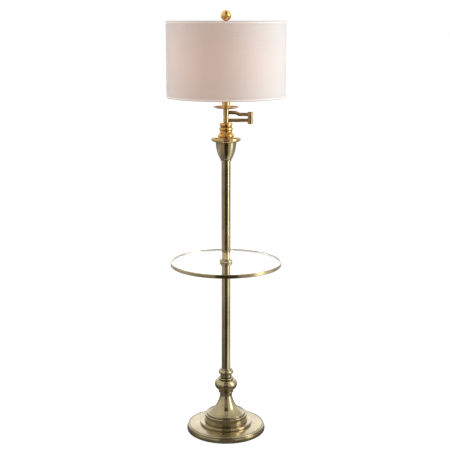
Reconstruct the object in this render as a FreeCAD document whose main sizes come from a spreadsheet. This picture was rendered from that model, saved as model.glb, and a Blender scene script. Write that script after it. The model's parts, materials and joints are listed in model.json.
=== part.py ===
"""Floor lamp with a swing arm, a drum shade and a round glass table on its column.

The lamp stands on +Z with its origin at the middle of the foot's underside, on the column's axis.
+X points along the folded swing arm, from the column to the elbow. All lengths are millimetres.
"""
import FreeCAD, Part
import math
import operator
import os

import Sketcher

# Driving dimensions. Radii are measured from the axis of the piece that they belong to.
SIZES = {
    # Foot: felt pad, cover plate, cast weight and the spun shell over them
    "pad_inset": 2.7, "pad_thickness": 1.5, "cover_gap": 0.3, "cover_thickness": 1.2,
    "weight_gap": 3.6, "weight_headroom": 10.2, "boss_radius": 26.0, "recess_radius": 18.0,
    "recess_depth": 7.0, "shell_wall": 1.5, "shell_lift": 0.6,
    "foot_radius": 143.8, "foot_lip_round": 4.5, "foot_bulge_height": 9.8, "foot_crease_height": 18.4,
    "foot_crease_inset": 1.8, "foot_ridge": 4.8, "foot_edge_height": 23.6,
    "foot_groove_inset": 8.9, "foot_groove_width": 2.4, "foot_groove_depth": 1.2,
    "foot_crown": 1.9, "step_radius": 95.0, "step_height": 9.5, "step_round": 1.5,
    "gland_radius": 4.5, "gland_bore": 3.2, "gland_gap": 0.3, "gland_length": 9.0, "gland_proud": 2.0,
    # Drum on the foot, with a bead round its wall
    "drum_radius": 78.2, "drum_height": 28.0, "drum_round": 2.4, "drum_bead": 1.0,
    "drum_bead_rise": 3.0, "drum_bead_width": 2.4,
    # Flared spindle: stepped lip, then a hollow sweep up to the neck
    "flare_radius": 72.0, "flare_height": 69.6, "flare_lip": 3.2, "flare_step": 2.2,
    "flare_step_rise": 2.4, "neck_radius": 22.4,
    # Ball of the spindle, between two rings
    "ball_height": 80.0, "ball_radius": 41.2, "ball_bulge": 8.2, "ball_gap_below": 8.4,
    "ball_gap_above": 3.0, "ball_ring": 28.0, "ball_ring_round": 2.2, "ball_ring_height": 5.5,
    "ball_foot_neck": 13.0, "ball_top_neck": 10.4, "ball_top_inset": 2.0, "casting_wall": 4.0,
    # Collar that holds the lower tube
    "collar_height": 24.0, "collar_radius": 27.4, "collar_foot": 3.0, "collar_lip": 4.0,
    "collar_wall": 2.9, "collar_edge": 1.0, "collar_seat": 13.0,
    # Column tubes, their plugs, the threaded pipe inside and its fasteners
    "tube_radius": 16.0, "tube_wall": 1.2, "plug_height": 9.0,
    "lower_tube_length": 401.6, "upper_tube_length": 369.7,
    "pipe_radius": 5.0, "pipe_bore": 3.5, "pipe_gap": 0.1, "pipe_tail": 0.3, "pipe_grip": 8.0,
    "coupler_radius": 7.5, "coupler_length": 30.0, "coupler_rise": 2.2,
    "nut_radius": 8.0, "nut_height": 4.4, "washer_radius": 15.0, "washer_thickness": 1.6,
    # Glass table: flange below, gaskets, glass, rim and collar above
    "flange_height": 11.0, "flange_wall": 4.4, "flange_brim": 3.5, "flange_plate": 4.0,
    "flange_seat": 6.0, "gasket_thickness": 0.8, "gasket_inset": 3.0,
    "glass_thickness": 6.0, "glass_hole_gap": 2.9,
    "rim_radius": 199.5, "rim_wall": 5.9, "rim_ledge": 5.1, "rim_cover": 1.8, "rim_drop": 5.6,
    "rim_round": 2.6, "table_collar_height": 9.0, "table_collar_wall": 4.4, "table_collar_brim": 3.7,
    "table_collar_seat": 2.0, "seat_gap": 0.1,
    # Trumpet cup at the top of the column
    "cup_height": 66.0, "cup_foot_wall": 3.4, "cup_throat_step": 1.5, "cup_mouth": 37.0,
    "cup_wall": 1.5, "cup_foot_height": 4.5, "cup_floor": 4.0, "cup_overlap": 6.0,
    # Cap over the cup: rim disc, cone and two beads
    "cap_overhang": 13.6, "cap_step": 1.1, "cap_rim_height": 16.0, "cap_cone_inset": 6.5,
    "cap_cone_rise": 20.5, "cap_cone_height": 16.0, "cap_cone_top": 21.6, "cap_low_bead": 24.2,
    "cap_low_bead_rise": 12.0, "cap_waist": 20.0, "cap_waist_rise": 5.8, "cap_high_bead": 22.3,
    "cap_high_bead_rise": 8.5, "cap_top_rise": 5.7, "cap_spigot": 5.0,
    # Swing arm: hubs on the column's axis, elbow beside it, two arms between them
    "arm_reach": 85.0, "hub_radius": 9.5, "knuckle_radius": 9.3, "arm_radius": 6.35,
    "arm_socket": 3.0, "turning_gap": 0.3, "hub_floor": 0.55, "hub_cover": 4.75,
    "pivot_radius": 4.5, "pivot_fit": 0.05, "pivot_head_radius": 7.5, "pivot_head": 1.6,
    "pivot_bore": 2.6, "pivot_root": 12.0, "post_gap": 0.5,
    "knuckle_skirt": 6.35, "knuckle_cover": 2.35, "knuckle_gap": 0.6,
    "upper_knuckle_floor": 5.05, "upper_knuckle_cover": 3.85, "washer_inset": 1.0,
    "pin_radius": 4.0, "pin_floor": 3.0, "pin_head_radius": 6.0, "pin_head": 2.0,
    "post_floor": 7.25, "post_cover": 6.55, "bend_start": 28.0, "bend_end": 52.0,
    # Lamp holder on the upper arm: drip pan, candle cup, saddle, socket and its switch
    "pan_radius": 45.3, "pan_height": 7.6, "pan_hub": 20.0, "pan_wall": 1.6, "pan_lip": 1.5,
    "pan_dish_height": 2.6,
    "candle_height": 30.0, "candle_foot": 16.0, "candle_foot_height": 2.0, "candle_waist": 13.9,
    "candle_wall": 1.4, "saddle_thickness": 1.4, "harp_foot_reach": 25.0, "saddle_wing": 16.0,
    "base_cup_height": 9.0, "base_cup_inset": 1.5, "base_cup_wall": 1.6, "socket_radius": 17.0,
    "socket_height": 40.0, "socket_wall": 0.8, "insulator_wall": 2.5, "insulator_floor": 15.0,
    "insulator_inset": 1.0, "screw_shell_height": 24.0, "screw_shell_wall": 0.5,
    "contact_radius": 4.0, "contact_height": 2.5, "key_level": 8.0, "key_inset": 6.0,
    "key_shaft_radius": 1.6, "key_reach": 36.0, "key_knob_radius": 6.0, "key_knob_length": 9.0,
    # Bulb
    "bulb_fit": 0.2, "bulb_base_height": 25.0, "bulb_base_cone": 4.0, "bulb_neck_step": 0.6,
    "bulb_radius": 30.0, "bulb_length": 80.0, "bulb_glass": 1.0,
    # Harp, its sleeves and the stud on top
    "harp_height": 251.0, "harp_wire": 2.3, "harp_leg": 32.0, "harp_bend": 20.0, "harp_lean": 30.0,
    "sleeve_clearance": 0.9, "sleeve_wall": 1.2, "sleeve_length": 13.0,
    "stud_plate_radius": 7.0, "stud_plate": 3.0, "stud_radius": 3.1, "stud_height": 17.0,
    # Shade: fabric on a liner, wire rings, spider and trim
    "shade_radius": 206.8, "shade_height": 259.0, "shade_top_rise": 9.5, "fabric_thickness": 0.8,
    "liner_thickness": 0.6, "ring_wire": 2.0, "ring_gap": 0.3, "trim_thickness": 0.7,
    "trim_height": 6.5, "spider_ring": 12.0, "spider_hole": 5.4, "spider_thickness": 1.6,
    "spider_wire": 2.0,
    # Finial
    "finial_radius": 18.3, "finial_neck": 7.0, "finial_centre": 26.3, "finial_base": 8.5,
    "finial_base_height": 2.0, "finial_step": 2.0, "finial_thread_end": 1.0,
}

# Curved profiles: points as shares of the way across and up from one end of a curve to the other
CORNER = 1 - math.sqrt(0.5)
FLARE_CURVE = ((0.25, 0.10), (0.45, 0.20), (0.64, 0.33), (0.76, 0.475), (0.90, 0.70))
CUP_CURVE = ((0.59, 0.37), (0.86, 0.70))
CUP_INSIDE = (0.84, 0.70)
CAP_RIM_FOOT, CAP_RIM_CREST, CAP_RIM_TOP = 0.125, 0.6, 1.14
CONE_CURVE = (0.40, 0.50)
BEAD_FOOT, BEAD_TOP = 0.4, 0.8
COLLAR_CURVE = (0.35, 0.45, 0.8)
FLANGE_CURVE = (0.3, 1.1, 1.4)
CANDLE_CURVE = (0.8, 0.3, 0.62)
PAN_HOLLOW = 0.45
BULB_CURVE = ((0.38, 0.25), (0.86, 0.45), (0.80, 0.45))
FINIAL_CURVE = (0.8, 0.7)
BALL_NOTCH = 0.1

SPIDER_ARMS = 3
NUT_SIDES = 6
OPERATIONS = {"+": operator.add, "-": operator.sub, "*": operator.mul, "/": operator.truediv}

document = FreeCAD.newDocument("FloorLamp")
sheet = document.addObject("Spreadsheet::Sheet", "Sizes")
NODES = []


class Amount:
    """A length that carries its number, for drawing, and its formula, for binding to the sheet."""

    def __init__(self, number, formula):
        self.number = number
        self.formula = formula

    def __add__(self, other):
        return combine(self, "+", other)

    def __sub__(self, other):
        return combine(self, "-", other)

    def __mul__(self, other):
        return combine(self, "*", other)

    def __truediv__(self, other):
        return combine(self, "/", other)

    def __rsub__(self, other):
        return combine(other, "-", self)

    def __neg__(self):
        return combine(0, "-", self)


def amount(value):
    """A plain number as an Amount; an Amount as it is."""
    return value if isinstance(value, Amount) else Amount(float(value), repr(float(value)))


def combine(left, sign, right):
    left, right = amount(left), amount(right)
    number = OPERATIONS[sign](left.number, right.number)
    return Amount(number, f"({left.formula} {sign} {right.formula})")


def root(value):
    """The square root of an Amount or of a plain number."""
    value = amount(value)
    return Amount(math.sqrt(value.number), f"sqrt({value.formula})")


def between(low, high, share):
    """The length that lies a share of the way from low to high."""
    return (high - low) * share + low


def on_curve(share, start, end):
    """The point that lies a share of the way across, and another up, from start to end."""
    return between(start[0], end[0], share[0]), between(start[1], end[1], share[1])


class SizeList:
    """The sheet's sizes, each an Amount under its own name."""


size = SizeList()
for row, (name, value) in enumerate(SIZES.items(), start=1):
    sheet.set(f"A{row}", name)
    sheet.set(f"B{row}", str(value))
    sheet.setAlias(f"B{row}", name)
    setattr(size, name, Amount(value, "Sizes." + name))
document.recompute()


# Sketches and the features made from them

def vector(point):
    return FreeCAD.Vector(amount(point[0]).number, amount(point[1]).number, 0)


def fix_point(sketch, geometry, end, point):
    """Hold a point of the sketch at its place across and up, bound to the sheet."""
    for kind, axis, value in (("DistanceX", -2, point[0]), ("DistanceY", -1, point[1])):
        if not isinstance(value, Amount) and value == 0:
            sketch.addConstraint(Sketcher.Constraint("PointOnObject", geometry, end, axis))
            continue
        bound = amount(value)
        index = sketch.addConstraint(Sketcher.Constraint(kind, -1, 1, geometry, end, bound.number))
        if isinstance(value, Amount):
            sketch.setExpression(f"Constraints[{index}]", bound.formula)


def draw_outline(sketch, points):
    """Draw a closed outline. A point is (across, up) at the end of a straight line, or
    (across, up, across, up) for an arc: a place on the arc, and then its end."""
    starts = []
    for index, point in enumerate(points):
        start, end = vector(points[index - 1][-2:]), vector(point[-2:])
        if len(point) == 4:
            line = sketch.addGeometry(Part.Arc(start, vector(point[:2]), end), False)
        else:
            line = sketch.addGeometry(Part.LineSegment(start, end), False)
        starts.append(1 if sketch.getPoint(line, 1).distanceToPoint(start) < 1e-6 else 2)
    count = len(points)
    for index in range(count):
        follower = (index + 1) % count
        sketch.addConstraint(Sketcher.Constraint(
            "Coincident", index, 3 - starts[index], follower, starts[follower]))
    for index, point in enumerate(points):
        fix_point(sketch, index, 3 - starts[index], point[-2:])
        if len(point) == 4:
            on_arc = sketch.addGeometry(Part.Point(vector(point[:2])), True)
            sketch.addConstraint(Sketcher.Constraint("PointOnObject", on_arc, 1, index))
            fix_point(sketch, on_arc, 1, point[:2])


def new_sketch(body, plane, name):
    """A sketch on one of the body's own origin planes."""
    sketch = body.newObject("Sketcher::SketchObject", name)
    origin_plane = [part for part in body.Origin.OriginFeatures if part.Role == plane][0]
    sketch.AttachmentSupport = [(origin_plane, "")]
    sketch.MapMode = "FlatFace"
    return sketch


def put(piece, x=0, y=0, z=0):
    """Place a piece, with each coordinate bound to the sheet where it comes from there."""
    piece.Placement.Base = FreeCAD.Vector(amount(x).number, amount(y).number, amount(z).number)
    for axis, value in (("x", x), ("y", y), ("z", z)):
        if isinstance(value, Amount):
            piece.setExpression("Placement.Base." + axis, value.formula)
    return piece


def node(piece, name=None):
    """Count the piece as one of the lamp's pieces, under its own label."""
    if name:
        piece.Label = name
    NODES.append(piece)
    return piece


def turned(name, points, level=0, across=0):
    """A piece turned about a vertical axis from half of its section, standing at a level."""
    body = document.addObject("PartDesign::Body", name)
    sketch = new_sketch(body, "XZ_Plane", name + "_section")
    draw_outline(sketch, points)
    turning = body.newObject("PartDesign::Revolution", name + "_turning")
    turning.Profile = sketch
    turning.ReferenceAxis = (sketch, ["V_Axis"])
    turning.Angle = 360
    return put(body, x=across, z=level)


def padded(name, points, width, level=0):
    """A plate or strip: an outline in the lamp's XZ plane, given its width evenly along Y."""
    body = document.addObject("PartDesign::Body", name)
    sketch = new_sketch(body, "XZ_Plane", name + "_outline")
    draw_outline(sketch, points)
    pad = body.newObject("PartDesign::Pad", name + "_pad")
    pad.Profile = sketch
    pad.SideType = "Symmetric"
    pad.Length = width.number
    pad.setExpression("Length", width.formula)
    return put(body, z=level)


def ring(name, inner, outer, height, level=0, across=0):
    """A plain washer, plate or tube with a hole along its axis."""
    return turned(name, [(inner, 0), (outer, 0), (outer, height), (inner, height)], level, across)


def cylinder(name, radius, length, x=0, y=0, z=0, along="z"):
    """A plain rod that starts at x, y, z and runs along one of the lamp's axes."""
    rod = document.addObject("Part::Cylinder", name)
    for prop, value in (("Radius", amount(radius)), ("Height", amount(length))):
        setattr(rod, prop, value.number)
        rod.setExpression(prop, value.formula)
    turns = {"z": ((0, 0, 1), 0), "x": ((0, 1, 0), 90), "y": ((1, 0, 0), -90), "-y": ((1, 0, 0), 90)}
    axis, angle = turns[along]
    rod.Placement.Rotation = FreeCAD.Rotation(FreeCAD.Vector(*axis), angle)
    return put(rod, x, y, z)


def fused(name, pieces):
    joined = document.addObject("Part::MultiFuse", name)
    joined.Shapes = pieces
    return joined


def cut(name, base, *tools):
    """The base with every tool taken away."""
    result = document.addObject("Part::Cut", name)
    result.Base = base
    result.Tool = tools[0] if len(tools) == 1 else fused(name + "_tools", list(tools))
    return result


def group(name, pieces):
    """Like pieces that share one node, each still a solid of its own."""
    together = document.addObject("Part::Compound", name)
    together.Links = pieces
    return together


# Foot

hole = size.pipe_radius + size.pipe_gap
tube_seat = size.tube_radius + size.seat_gap
foot_lip = size.foot_radius - size.foot_lip_round
groove_radius = size.foot_radius - size.foot_groove_inset
groove_in = groove_radius - size.foot_groove_width / 2
cover_radius = foot_lip - size.shell_wall - size.cover_gap
cover_level = size.pad_thickness
weight_level = cover_level + size.cover_thickness
washer_level = weight_level + size.recess_depth - size.washer_thickness
nut_level = washer_level - size.nut_height
foot_crown_level = size.foot_edge_height + size.foot_crown
foot_top = foot_crown_level + size.step_height


def make_foot():
    """Pad, cover plate, weight and shell, with the cord's gland through the back of the rim."""
    node(ring("felt_pad", size.recess_radius, cover_radius - size.pad_inset, size.pad_thickness))
    node(ring("base_cover", size.recess_radius, cover_radius, size.cover_thickness, cover_level))
    boss_top = foot_top - size.shell_wall - weight_level
    weight_radius = groove_in - size.shell_wall - size.weight_gap
    weight_top = size.foot_edge_height - size.shell_wall - size.weight_headroom - weight_level
    node(turned("base_weight", [
        (size.recess_radius, 0), (weight_radius, 0), (weight_radius, weight_top),
        (size.boss_radius, weight_top), (size.boss_radius, boss_top), (hole, boss_top),
        (hole, size.recess_depth), (size.recess_radius, size.recess_depth)], weight_level))
    node(ring("base_washer", hole, size.washer_radius, size.washer_thickness, washer_level))
    nut = document.addObject("Part::Prism", "lock_nut_blank")
    nut.Polygon = NUT_SIDES
    for prop, value in (("Circumradius", size.nut_radius), ("Height", size.nut_height)):
        nut.setExpression(prop, value.formula)
    put(nut, z=nut_level)
    bore = cylinder("lock_nut_bore", hole, size.nut_height * 2, z=nut_level - size.nut_height / 2)
    node(cut("lock_nut", nut, bore))

    edge, crown, step = size.foot_edge_height, foot_crown_level, size.step_radius
    crease, crease_level = size.foot_radius - size.foot_crease_inset, size.foot_crease_height
    ridge, rounding = size.foot_ridge, size.step_round
    radius, lift, roll = size.foot_radius, size.shell_lift, size.foot_lip_round
    groove_out = groove_radius + size.foot_groove_width / 2
    outside = [
        (foot_lip, lift), (radius - roll * CORNER, lift + roll * CORNER, radius, lift + roll),
        (radius, size.foot_bulge_height, crease, crease_level),
        (crease - ridge * CORNER, crease_level + ridge * (1 - CORNER),
         crease - ridge, crease_level + ridge),
        (groove_out, edge),
        (groove_radius, edge - size.foot_groove_depth, groove_in, edge),
        (step, crown), (step, foot_top - rounding),
        (step - rounding * CORNER, foot_top - rounding * CORNER, step - rounding, foot_top),
        (hole, foot_top)]
    wall = size.shell_wall
    inside = [
        (hole, foot_top - wall), (step - rounding - wall, foot_top - wall),
        (step - wall, foot_top - rounding - wall), (step - wall, crown - wall),
        (groove_in - wall, edge - wall), (groove_out - wall, edge - size.foot_groove_depth - wall),
        (crease - wall, crease_level - wall),
        (radius - wall, size.foot_bulge_height, radius - wall, lift + roll),
        (radius - wall - roll * CORNER, lift + roll * CORNER, foot_lip - wall, lift)]
    shell = turned("base_shell", outside + inside)
    gland_start = radius + size.gland_proud - size.gland_length
    gland_level = weight_level + size.gland_gap + size.gland_radius
    opening = cylinder("gland_opening", size.gland_radius, size.gland_length, y=gland_start,
                       z=gland_level, along="y")
    node(cut("base_disc", shell, opening))
    sleeve = cylinder("gland_sleeve", size.gland_radius, size.gland_length, y=gland_start,
                      z=gland_level, along="y")
    way = cylinder("gland_way", size.gland_bore, size.gland_length * 2, y=gland_start - size.gland_length / 2,
                   z=gland_level, along="y")
    node(cut("cord_gland", sleeve, way))


# Spindle above the foot

drum_level = foot_top
flare_level = drum_level + size.drum_height
ball_level = flare_level + size.flare_height
collar_level = ball_level + size.ball_height
lower_tube_level = collar_level + size.collar_seat


def make_spindle():
    """Drum, flare, ball and collar, stacked over the threaded pipe."""
    wall, radius = size.shell_wall, size.drum_radius
    bead, bead_width = size.drum_bead_rise, size.drum_bead_width
    soft = size.drum_round * CORNER
    node(turned("base_drum", [
        (radius, 0), (radius, bead),
        (radius + size.drum_bead, bead + bead_width / 2, radius, bead + bead_width),
        (radius, size.drum_height - size.drum_round),
        (radius - soft, size.drum_height - soft, radius - size.drum_round, size.drum_height),
        (hole, size.drum_height), (hole, size.drum_height - wall),
        (radius - size.drum_round - wall, size.drum_height - wall),
        (radius - wall, size.drum_height - size.drum_round - wall), (radius - wall, 0)], drum_level))

    lip, step, rise = size.flare_lip, size.flare_step, size.flare_step_rise
    foot, neck, top = size.flare_radius, size.neck_radius, size.flare_height
    sweep, sweep_rise, thick = foot - step * 2, lip + rise, wall * 2
    curve_foot, curve_top = (sweep, sweep_rise), (neck, top)
    curve = [on_curve(share, curve_foot, curve_top) for share in FLARE_CURVE]
    hollow = [(across - thick, up) for across, up in curve]
    node(turned("base_flare", [
        (foot - lip / 4, 0),
        (foot, lip / 2, foot - lip / 4, lip),
        (foot - step, lip),
        (foot - step * (1 - CORNER), lip + rise / 2, foot - step, sweep_rise),
        curve_foot,
        (*curve[0], *curve[1]), (*curve[2], *curve[3]), (*curve[4], *curve_top),
        (hole, top), (hole, top - thick), (neck - thick, top - thick),
        (*hollow[4], *hollow[3]), (*hollow[2], *hollow[1]),
        (*hollow[0], sweep - thick, sweep_rise), (sweep - thick, 0)], flare_level))

    ring_round, ring_height = size.ball_ring_round, size.ball_ring_height
    top_neck = neck - size.ball_top_inset
    low_ring, high_ring = size.ball_foot_neck, size.ball_height - size.ball_top_neck - ring_height
    low_top = low_ring + ring_height
    half = (high_ring - low_top - size.ball_gap_below - size.ball_gap_above) / 2
    middle, shoulder = low_top + size.ball_gap_below + half, size.ball_radius - size.ball_bulge
    notch = between(size.ball_ring, shoulder, BALL_NOTCH)
    points = [(hole, 0), (neck, 0), (neck, low_ring)]
    points += ring_bead(size.ball_ring, low_ring, ring_height, ring_round)
    points += [(notch, middle - half - ring_round), (shoulder, middle - half),
               (size.ball_radius, middle, shoulder, middle + half),
               (notch, middle + half + ring_round / 2)]
    points += ring_bead(size.ball_ring, high_ring, ring_height, ring_round)
    points += [(top_neck, high_ring + ring_height + ring_round),
               (top_neck, size.ball_height), (hole, size.ball_height)]
    thick = size.casting_wall
    points += [
        (hole, high_ring), (shoulder - thick, middle + half),
        (size.ball_radius - thick, middle, shoulder - thick, middle - half), (hole, low_top)]
    node(turned("spindle_ball", points, ball_level))

    bead_foot, bead_top = size.collar_foot, size.collar_height - size.collar_lip
    collar_rim = tube_seat + size.collar_wall
    node(turned("lower_collar", [
        (hole, 0), (top_neck, 0), (top_neck, bead_foot), (neck, bead_foot),
        (size.collar_radius, (bead_foot + bead_top) / 2, (neck + collar_rim) / 2, bead_top),
        (collar_rim, size.collar_height - size.collar_edge), (collar_rim, size.collar_height),
        (tube_seat, size.collar_height), (tube_seat, size.collar_seat),
        (hole, size.collar_seat)], collar_level))


def ring_bead(radius, level, height, rounding):
    """Part of a section: a raised ring with soft corners, from its foot to its top."""
    corner = rounding * CORNER
    return [
        (radius - rounding, level),
        (radius - corner, level + corner, radius, level + rounding),
        (radius, level + height - rounding),
        (radius - corner, level + height - corner, radius - rounding, level + height)]


# Column and table

flange_level = lower_tube_level + size.lower_tube_length - size.flange_seat
low_gasket_level = flange_level + size.flange_height
glass_level = low_gasket_level + size.gasket_thickness
high_gasket_level = glass_level + size.glass_thickness
table_collar_level = high_gasket_level + size.gasket_thickness
upper_tube_level = table_collar_level + size.table_collar_seat
column_top = upper_tube_level + size.upper_tube_length
cup_level = column_top - size.cup_overlap
cap_level = cup_level + size.cup_height
cap_cone_level = size.cap_cone_rise + size.cap_cone_height
cap_low_bead_level = cap_cone_level + size.cap_low_bead_rise
cap_waist_level = cap_low_bead_level + size.cap_waist_rise
cap_high_bead_level = cap_waist_level + size.cap_high_bead_rise
cap_height = cap_high_bead_level + size.cap_top_rise
cap_top = cap_level + cap_height
pipe_top = cap_level + cap_cone_level + size.pipe_grip
pipe_start = nut_level - size.pipe_tail
pipe_joint = upper_tube_level + size.plug_height + size.coupler_rise + size.coupler_length / 2


def make_column():
    """Two tubes with a plug in each end, the threaded pipe through them, and the coupler."""
    for name, level, length in (("lower_tube", lower_tube_level, size.lower_tube_length),
                                ("upper_tube", upper_tube_level, size.upper_tube_length)):
        node(ring(name, size.tube_radius - size.tube_wall, size.tube_radius, length, level))
    plugs = []
    plug_radius = size.tube_radius - size.tube_wall - size.seat_gap
    lower_top = lower_tube_level + size.lower_tube_length
    for place, level in (("foot", lower_tube_level), ("table", lower_top - size.plug_height),
                         ("collar", upper_tube_level), ("cup", column_top - size.plug_height)):
        plugs.append(ring("plug_at_" + place, hole, plug_radius, size.plug_height, level))
    node(group("tube_plugs", plugs))
    node(ring("lower_pipe", size.pipe_bore, size.pipe_radius, pipe_joint - pipe_start, pipe_start))
    node(ring("upper_pipe", size.pipe_bore, size.pipe_radius, pipe_top - pipe_joint, pipe_joint))
    node(ring("pipe_coupler", hole, size.coupler_radius, size.coupler_length,
              pipe_joint - size.coupler_length / 2))


def make_table():
    """Flange, gaskets, glass top, rim and the collar that clamps the glass."""
    hub, plate, height = tube_seat + size.flange_wall, size.flange_plate, size.flange_height
    brim = hub + size.flange_brim
    inward, middle, foot = FLANGE_CURVE
    node(turned("table_flange", [
        (tube_seat, 0), (hub, 0), (hub, height - plate * foot),
        (between(hub, brim, inward), height - plate * middle, brim, height - plate),
        (brim, height), (hole, height), (hole, size.flange_seat),
        (tube_seat, size.flange_seat)], flange_level))
    gaskets = [ring("gasket_" + side, hole, brim - size.gasket_inset, size.gasket_thickness, level)
               for side, level in (("below", low_gasket_level), ("above", high_gasket_level))]
    node(group("glass_gaskets", gaskets))
    glass_edge = size.rim_radius - size.rim_wall
    node(ring("glass_top", hole + size.glass_hole_gap, glass_edge - size.seat_gap, size.glass_thickness,
              glass_level))

    drop, rounding = size.rim_drop, size.rim_round
    outer, ledge = size.rim_radius, glass_edge - size.rim_ledge
    top = drop + size.glass_thickness + size.rim_cover
    soft = rounding * CORNER
    node(turned("table_rim", [
        (outer - rounding, 0), (outer - soft, soft, outer, rounding),
        (outer, top - rounding), (outer - soft, top - soft, outer - rounding, top),
        (glass_edge + soft, top), (glass_edge, top - soft),
        (glass_edge, drop), (ledge, drop), (ledge, rounding),
        (ledge + soft, soft, ledge + rounding, 0)], glass_level - drop))

    top, crown = tube_seat + size.table_collar_wall, size.table_collar_height
    brim = top + size.table_collar_brim
    inward, side, shoulder = COLLAR_CURVE
    node(turned("table_collar", [
        (hole, 0), (brim, 0), (brim, crown * side),
        (between(brim, top, inward), crown * shoulder, top, crown),
        (tube_seat, crown), (tube_seat, size.table_collar_seat),
        (hole, size.table_collar_seat)], table_collar_level))


# Cup and cap at the top of the column

def make_head():
    """The trumpet cup round the column's top, and the turned cap that closes it."""
    wall, height, mouth = size.cup_wall, size.cup_height, size.cup_mouth
    throat_level, foot = size.cup_foot_height, tube_seat + size.cup_foot_wall
    throat = foot + size.cup_throat_step
    curve_foot, curve_top = (throat, throat_level), (mouth, height)
    curve = [on_curve(share, curve_foot, curve_top) for share in CUP_CURVE]
    across, up = on_curve(CUP_INSIDE, curve_foot, curve_top)
    outside = [
        (foot, 0), (foot, throat_level), (throat, throat_level + wall),
        (*curve[0], *curve[1]), curve_top]
    inside = [
        (mouth - wall, height), (across - wall, up),
        (tube_seat + wall, size.cup_overlap + size.cup_floor + throat_level),
        (tube_seat + wall, size.cup_overlap + size.cup_floor),
        (hole, size.cup_overlap + size.cup_floor), (hole, size.cup_overlap),
        (tube_seat, size.cup_overlap), (tube_seat, 0)]
    node(turned("trumpet_cup", outside + inside, cup_level))

    rim, rise, underside = size.cap_rim_height, size.cap_cone_rise, mouth + size.cap_step
    cone_foot, cone_top, waist = mouth - size.cap_cone_inset, size.cap_cone_top, size.cap_waist
    shoulder = underside + rim / 2
    cup_fit, thick = mouth - wall - size.seat_gap, size.casting_wall
    pivot_hole, pivot_floor = size.pivot_radius + size.seat_gap, cap_height - size.pivot_root
    node(turned("cap", [
        (cup_fit - wall * 2, -size.cap_spigot), (cup_fit - wall, -size.cap_spigot), (cup_fit, 0),
        (underside, 0), (shoulder, rim * CAP_RIM_FOOT),
        (underside + size.cap_overhang, rim * CAP_RIM_CREST, shoulder, rim * CAP_RIM_TOP),
        (cone_foot, rise),
        (*on_curve(CONE_CURVE, (cone_foot, rise), (cone_top, cap_cone_level)), cone_top, cap_cone_level),
        (cone_top, between(cap_cone_level, cap_low_bead_level, BEAD_FOOT)),
        (size.cap_low_bead, cap_low_bead_level,
         waist, between(cap_low_bead_level, cap_waist_level, BEAD_TOP)),
        (waist, between(cap_high_bead_level, cap_waist_level, BEAD_TOP)),
        (size.cap_high_bead, cap_high_bead_level,
         between(size.cap_high_bead, waist, BEAD_TOP), cap_height),
        (pivot_hole, cap_height), (pivot_hole, pivot_floor), (hole, pivot_floor),
        (hole, cap_cone_level - thick), (cone_top - thick, cap_cone_level - thick),
        (cone_foot - thick, rise - thick), (cup_fit - wall * 2, rim - thick)], cap_level))


# Swing arm

arm_across = size.arm_radius * 2
hub_level = cap_top + size.turning_gap
hub_height = size.hub_floor + arm_across + size.hub_cover
head_level = hub_level + hub_height + size.turning_gap
post_level = head_level + size.pivot_head + size.post_gap
post_height = size.post_floor + arm_across + size.post_cover
lower_arm_level = hub_level + size.hub_floor + size.arm_radius
lower_knuckle_level = lower_arm_level - size.arm_radius - size.knuckle_skirt
lower_knuckle_height = size.knuckle_skirt + arm_across + size.knuckle_cover
washer_gap_level = lower_knuckle_level + lower_knuckle_height
upper_knuckle_level = washer_gap_level + size.knuckle_gap
upper_knuckle_height = size.upper_knuckle_floor + arm_across + size.upper_knuckle_cover
elbow_arm_level = upper_knuckle_level + size.upper_knuckle_floor + size.arm_radius
post_arm_level = post_level + size.post_floor + size.arm_radius
post_top = post_level + post_height


def make_lower_arm():
    """The pivot on the column, and the first arm with its hub and half of the elbow."""
    pivot_start = cap_top - size.pivot_root
    node(turned("arm_pivot", [
        (size.pivot_bore, 0), (size.pivot_radius, 0),
        (size.pivot_radius, head_level - pivot_start),
        (size.pivot_head_radius, head_level - pivot_start),
        (size.pivot_head_radius, head_level - pivot_start + size.pivot_head),
        (size.pivot_bore, head_level - pivot_start + size.pivot_head)], pivot_start))
    arm_start = size.hub_radius - size.arm_socket
    arm_length = size.arm_reach - size.knuckle_radius + size.arm_socket - arm_start
    socket = cylinder("lower_arm_sockets", size.arm_radius, arm_length, x=arm_start,
                      z=lower_arm_level, along="x")
    hub = ring("lower_hub_blank", size.pivot_radius + size.pivot_fit, size.hub_radius,
               hub_height, hub_level)
    node(cut("lower_hub", hub, socket))
    knuckle = turned("lower_knuckle_blank", [
        (0, 0), (size.knuckle_radius, 0), (size.knuckle_radius, lower_knuckle_height),
        (size.pin_radius, lower_knuckle_height), (size.pin_radius, size.pin_floor),
        (0, size.pin_floor)], lower_knuckle_level, size.arm_reach)
    node(cut("lower_knuckle", knuckle, cylinder(
        "lower_knuckle_socket", size.arm_radius, arm_length, x=arm_start, z=lower_arm_level, along="x")))
    node(cylinder("lower_arm", size.arm_radius, arm_length, x=arm_start, z=lower_arm_level, along="x"))
    pin_length = lower_knuckle_height - size.pin_floor + size.knuckle_gap \
        + upper_knuckle_height - size.pin_head
    node(turned("elbow_pin", [
        (0, 0), (size.pin_radius, 0), (size.pin_radius, pin_length),
        (size.pin_head_radius, pin_length), (size.pin_head_radius, pin_length + size.pin_head),
        (0, pin_length + size.pin_head)], lower_knuckle_level + size.pin_floor, size.arm_reach))
    node(ring("elbow_washer", size.pin_radius + size.pivot_fit, size.knuckle_radius - size.washer_inset,
              size.knuckle_gap / 2, washer_gap_level, size.arm_reach))


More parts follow.
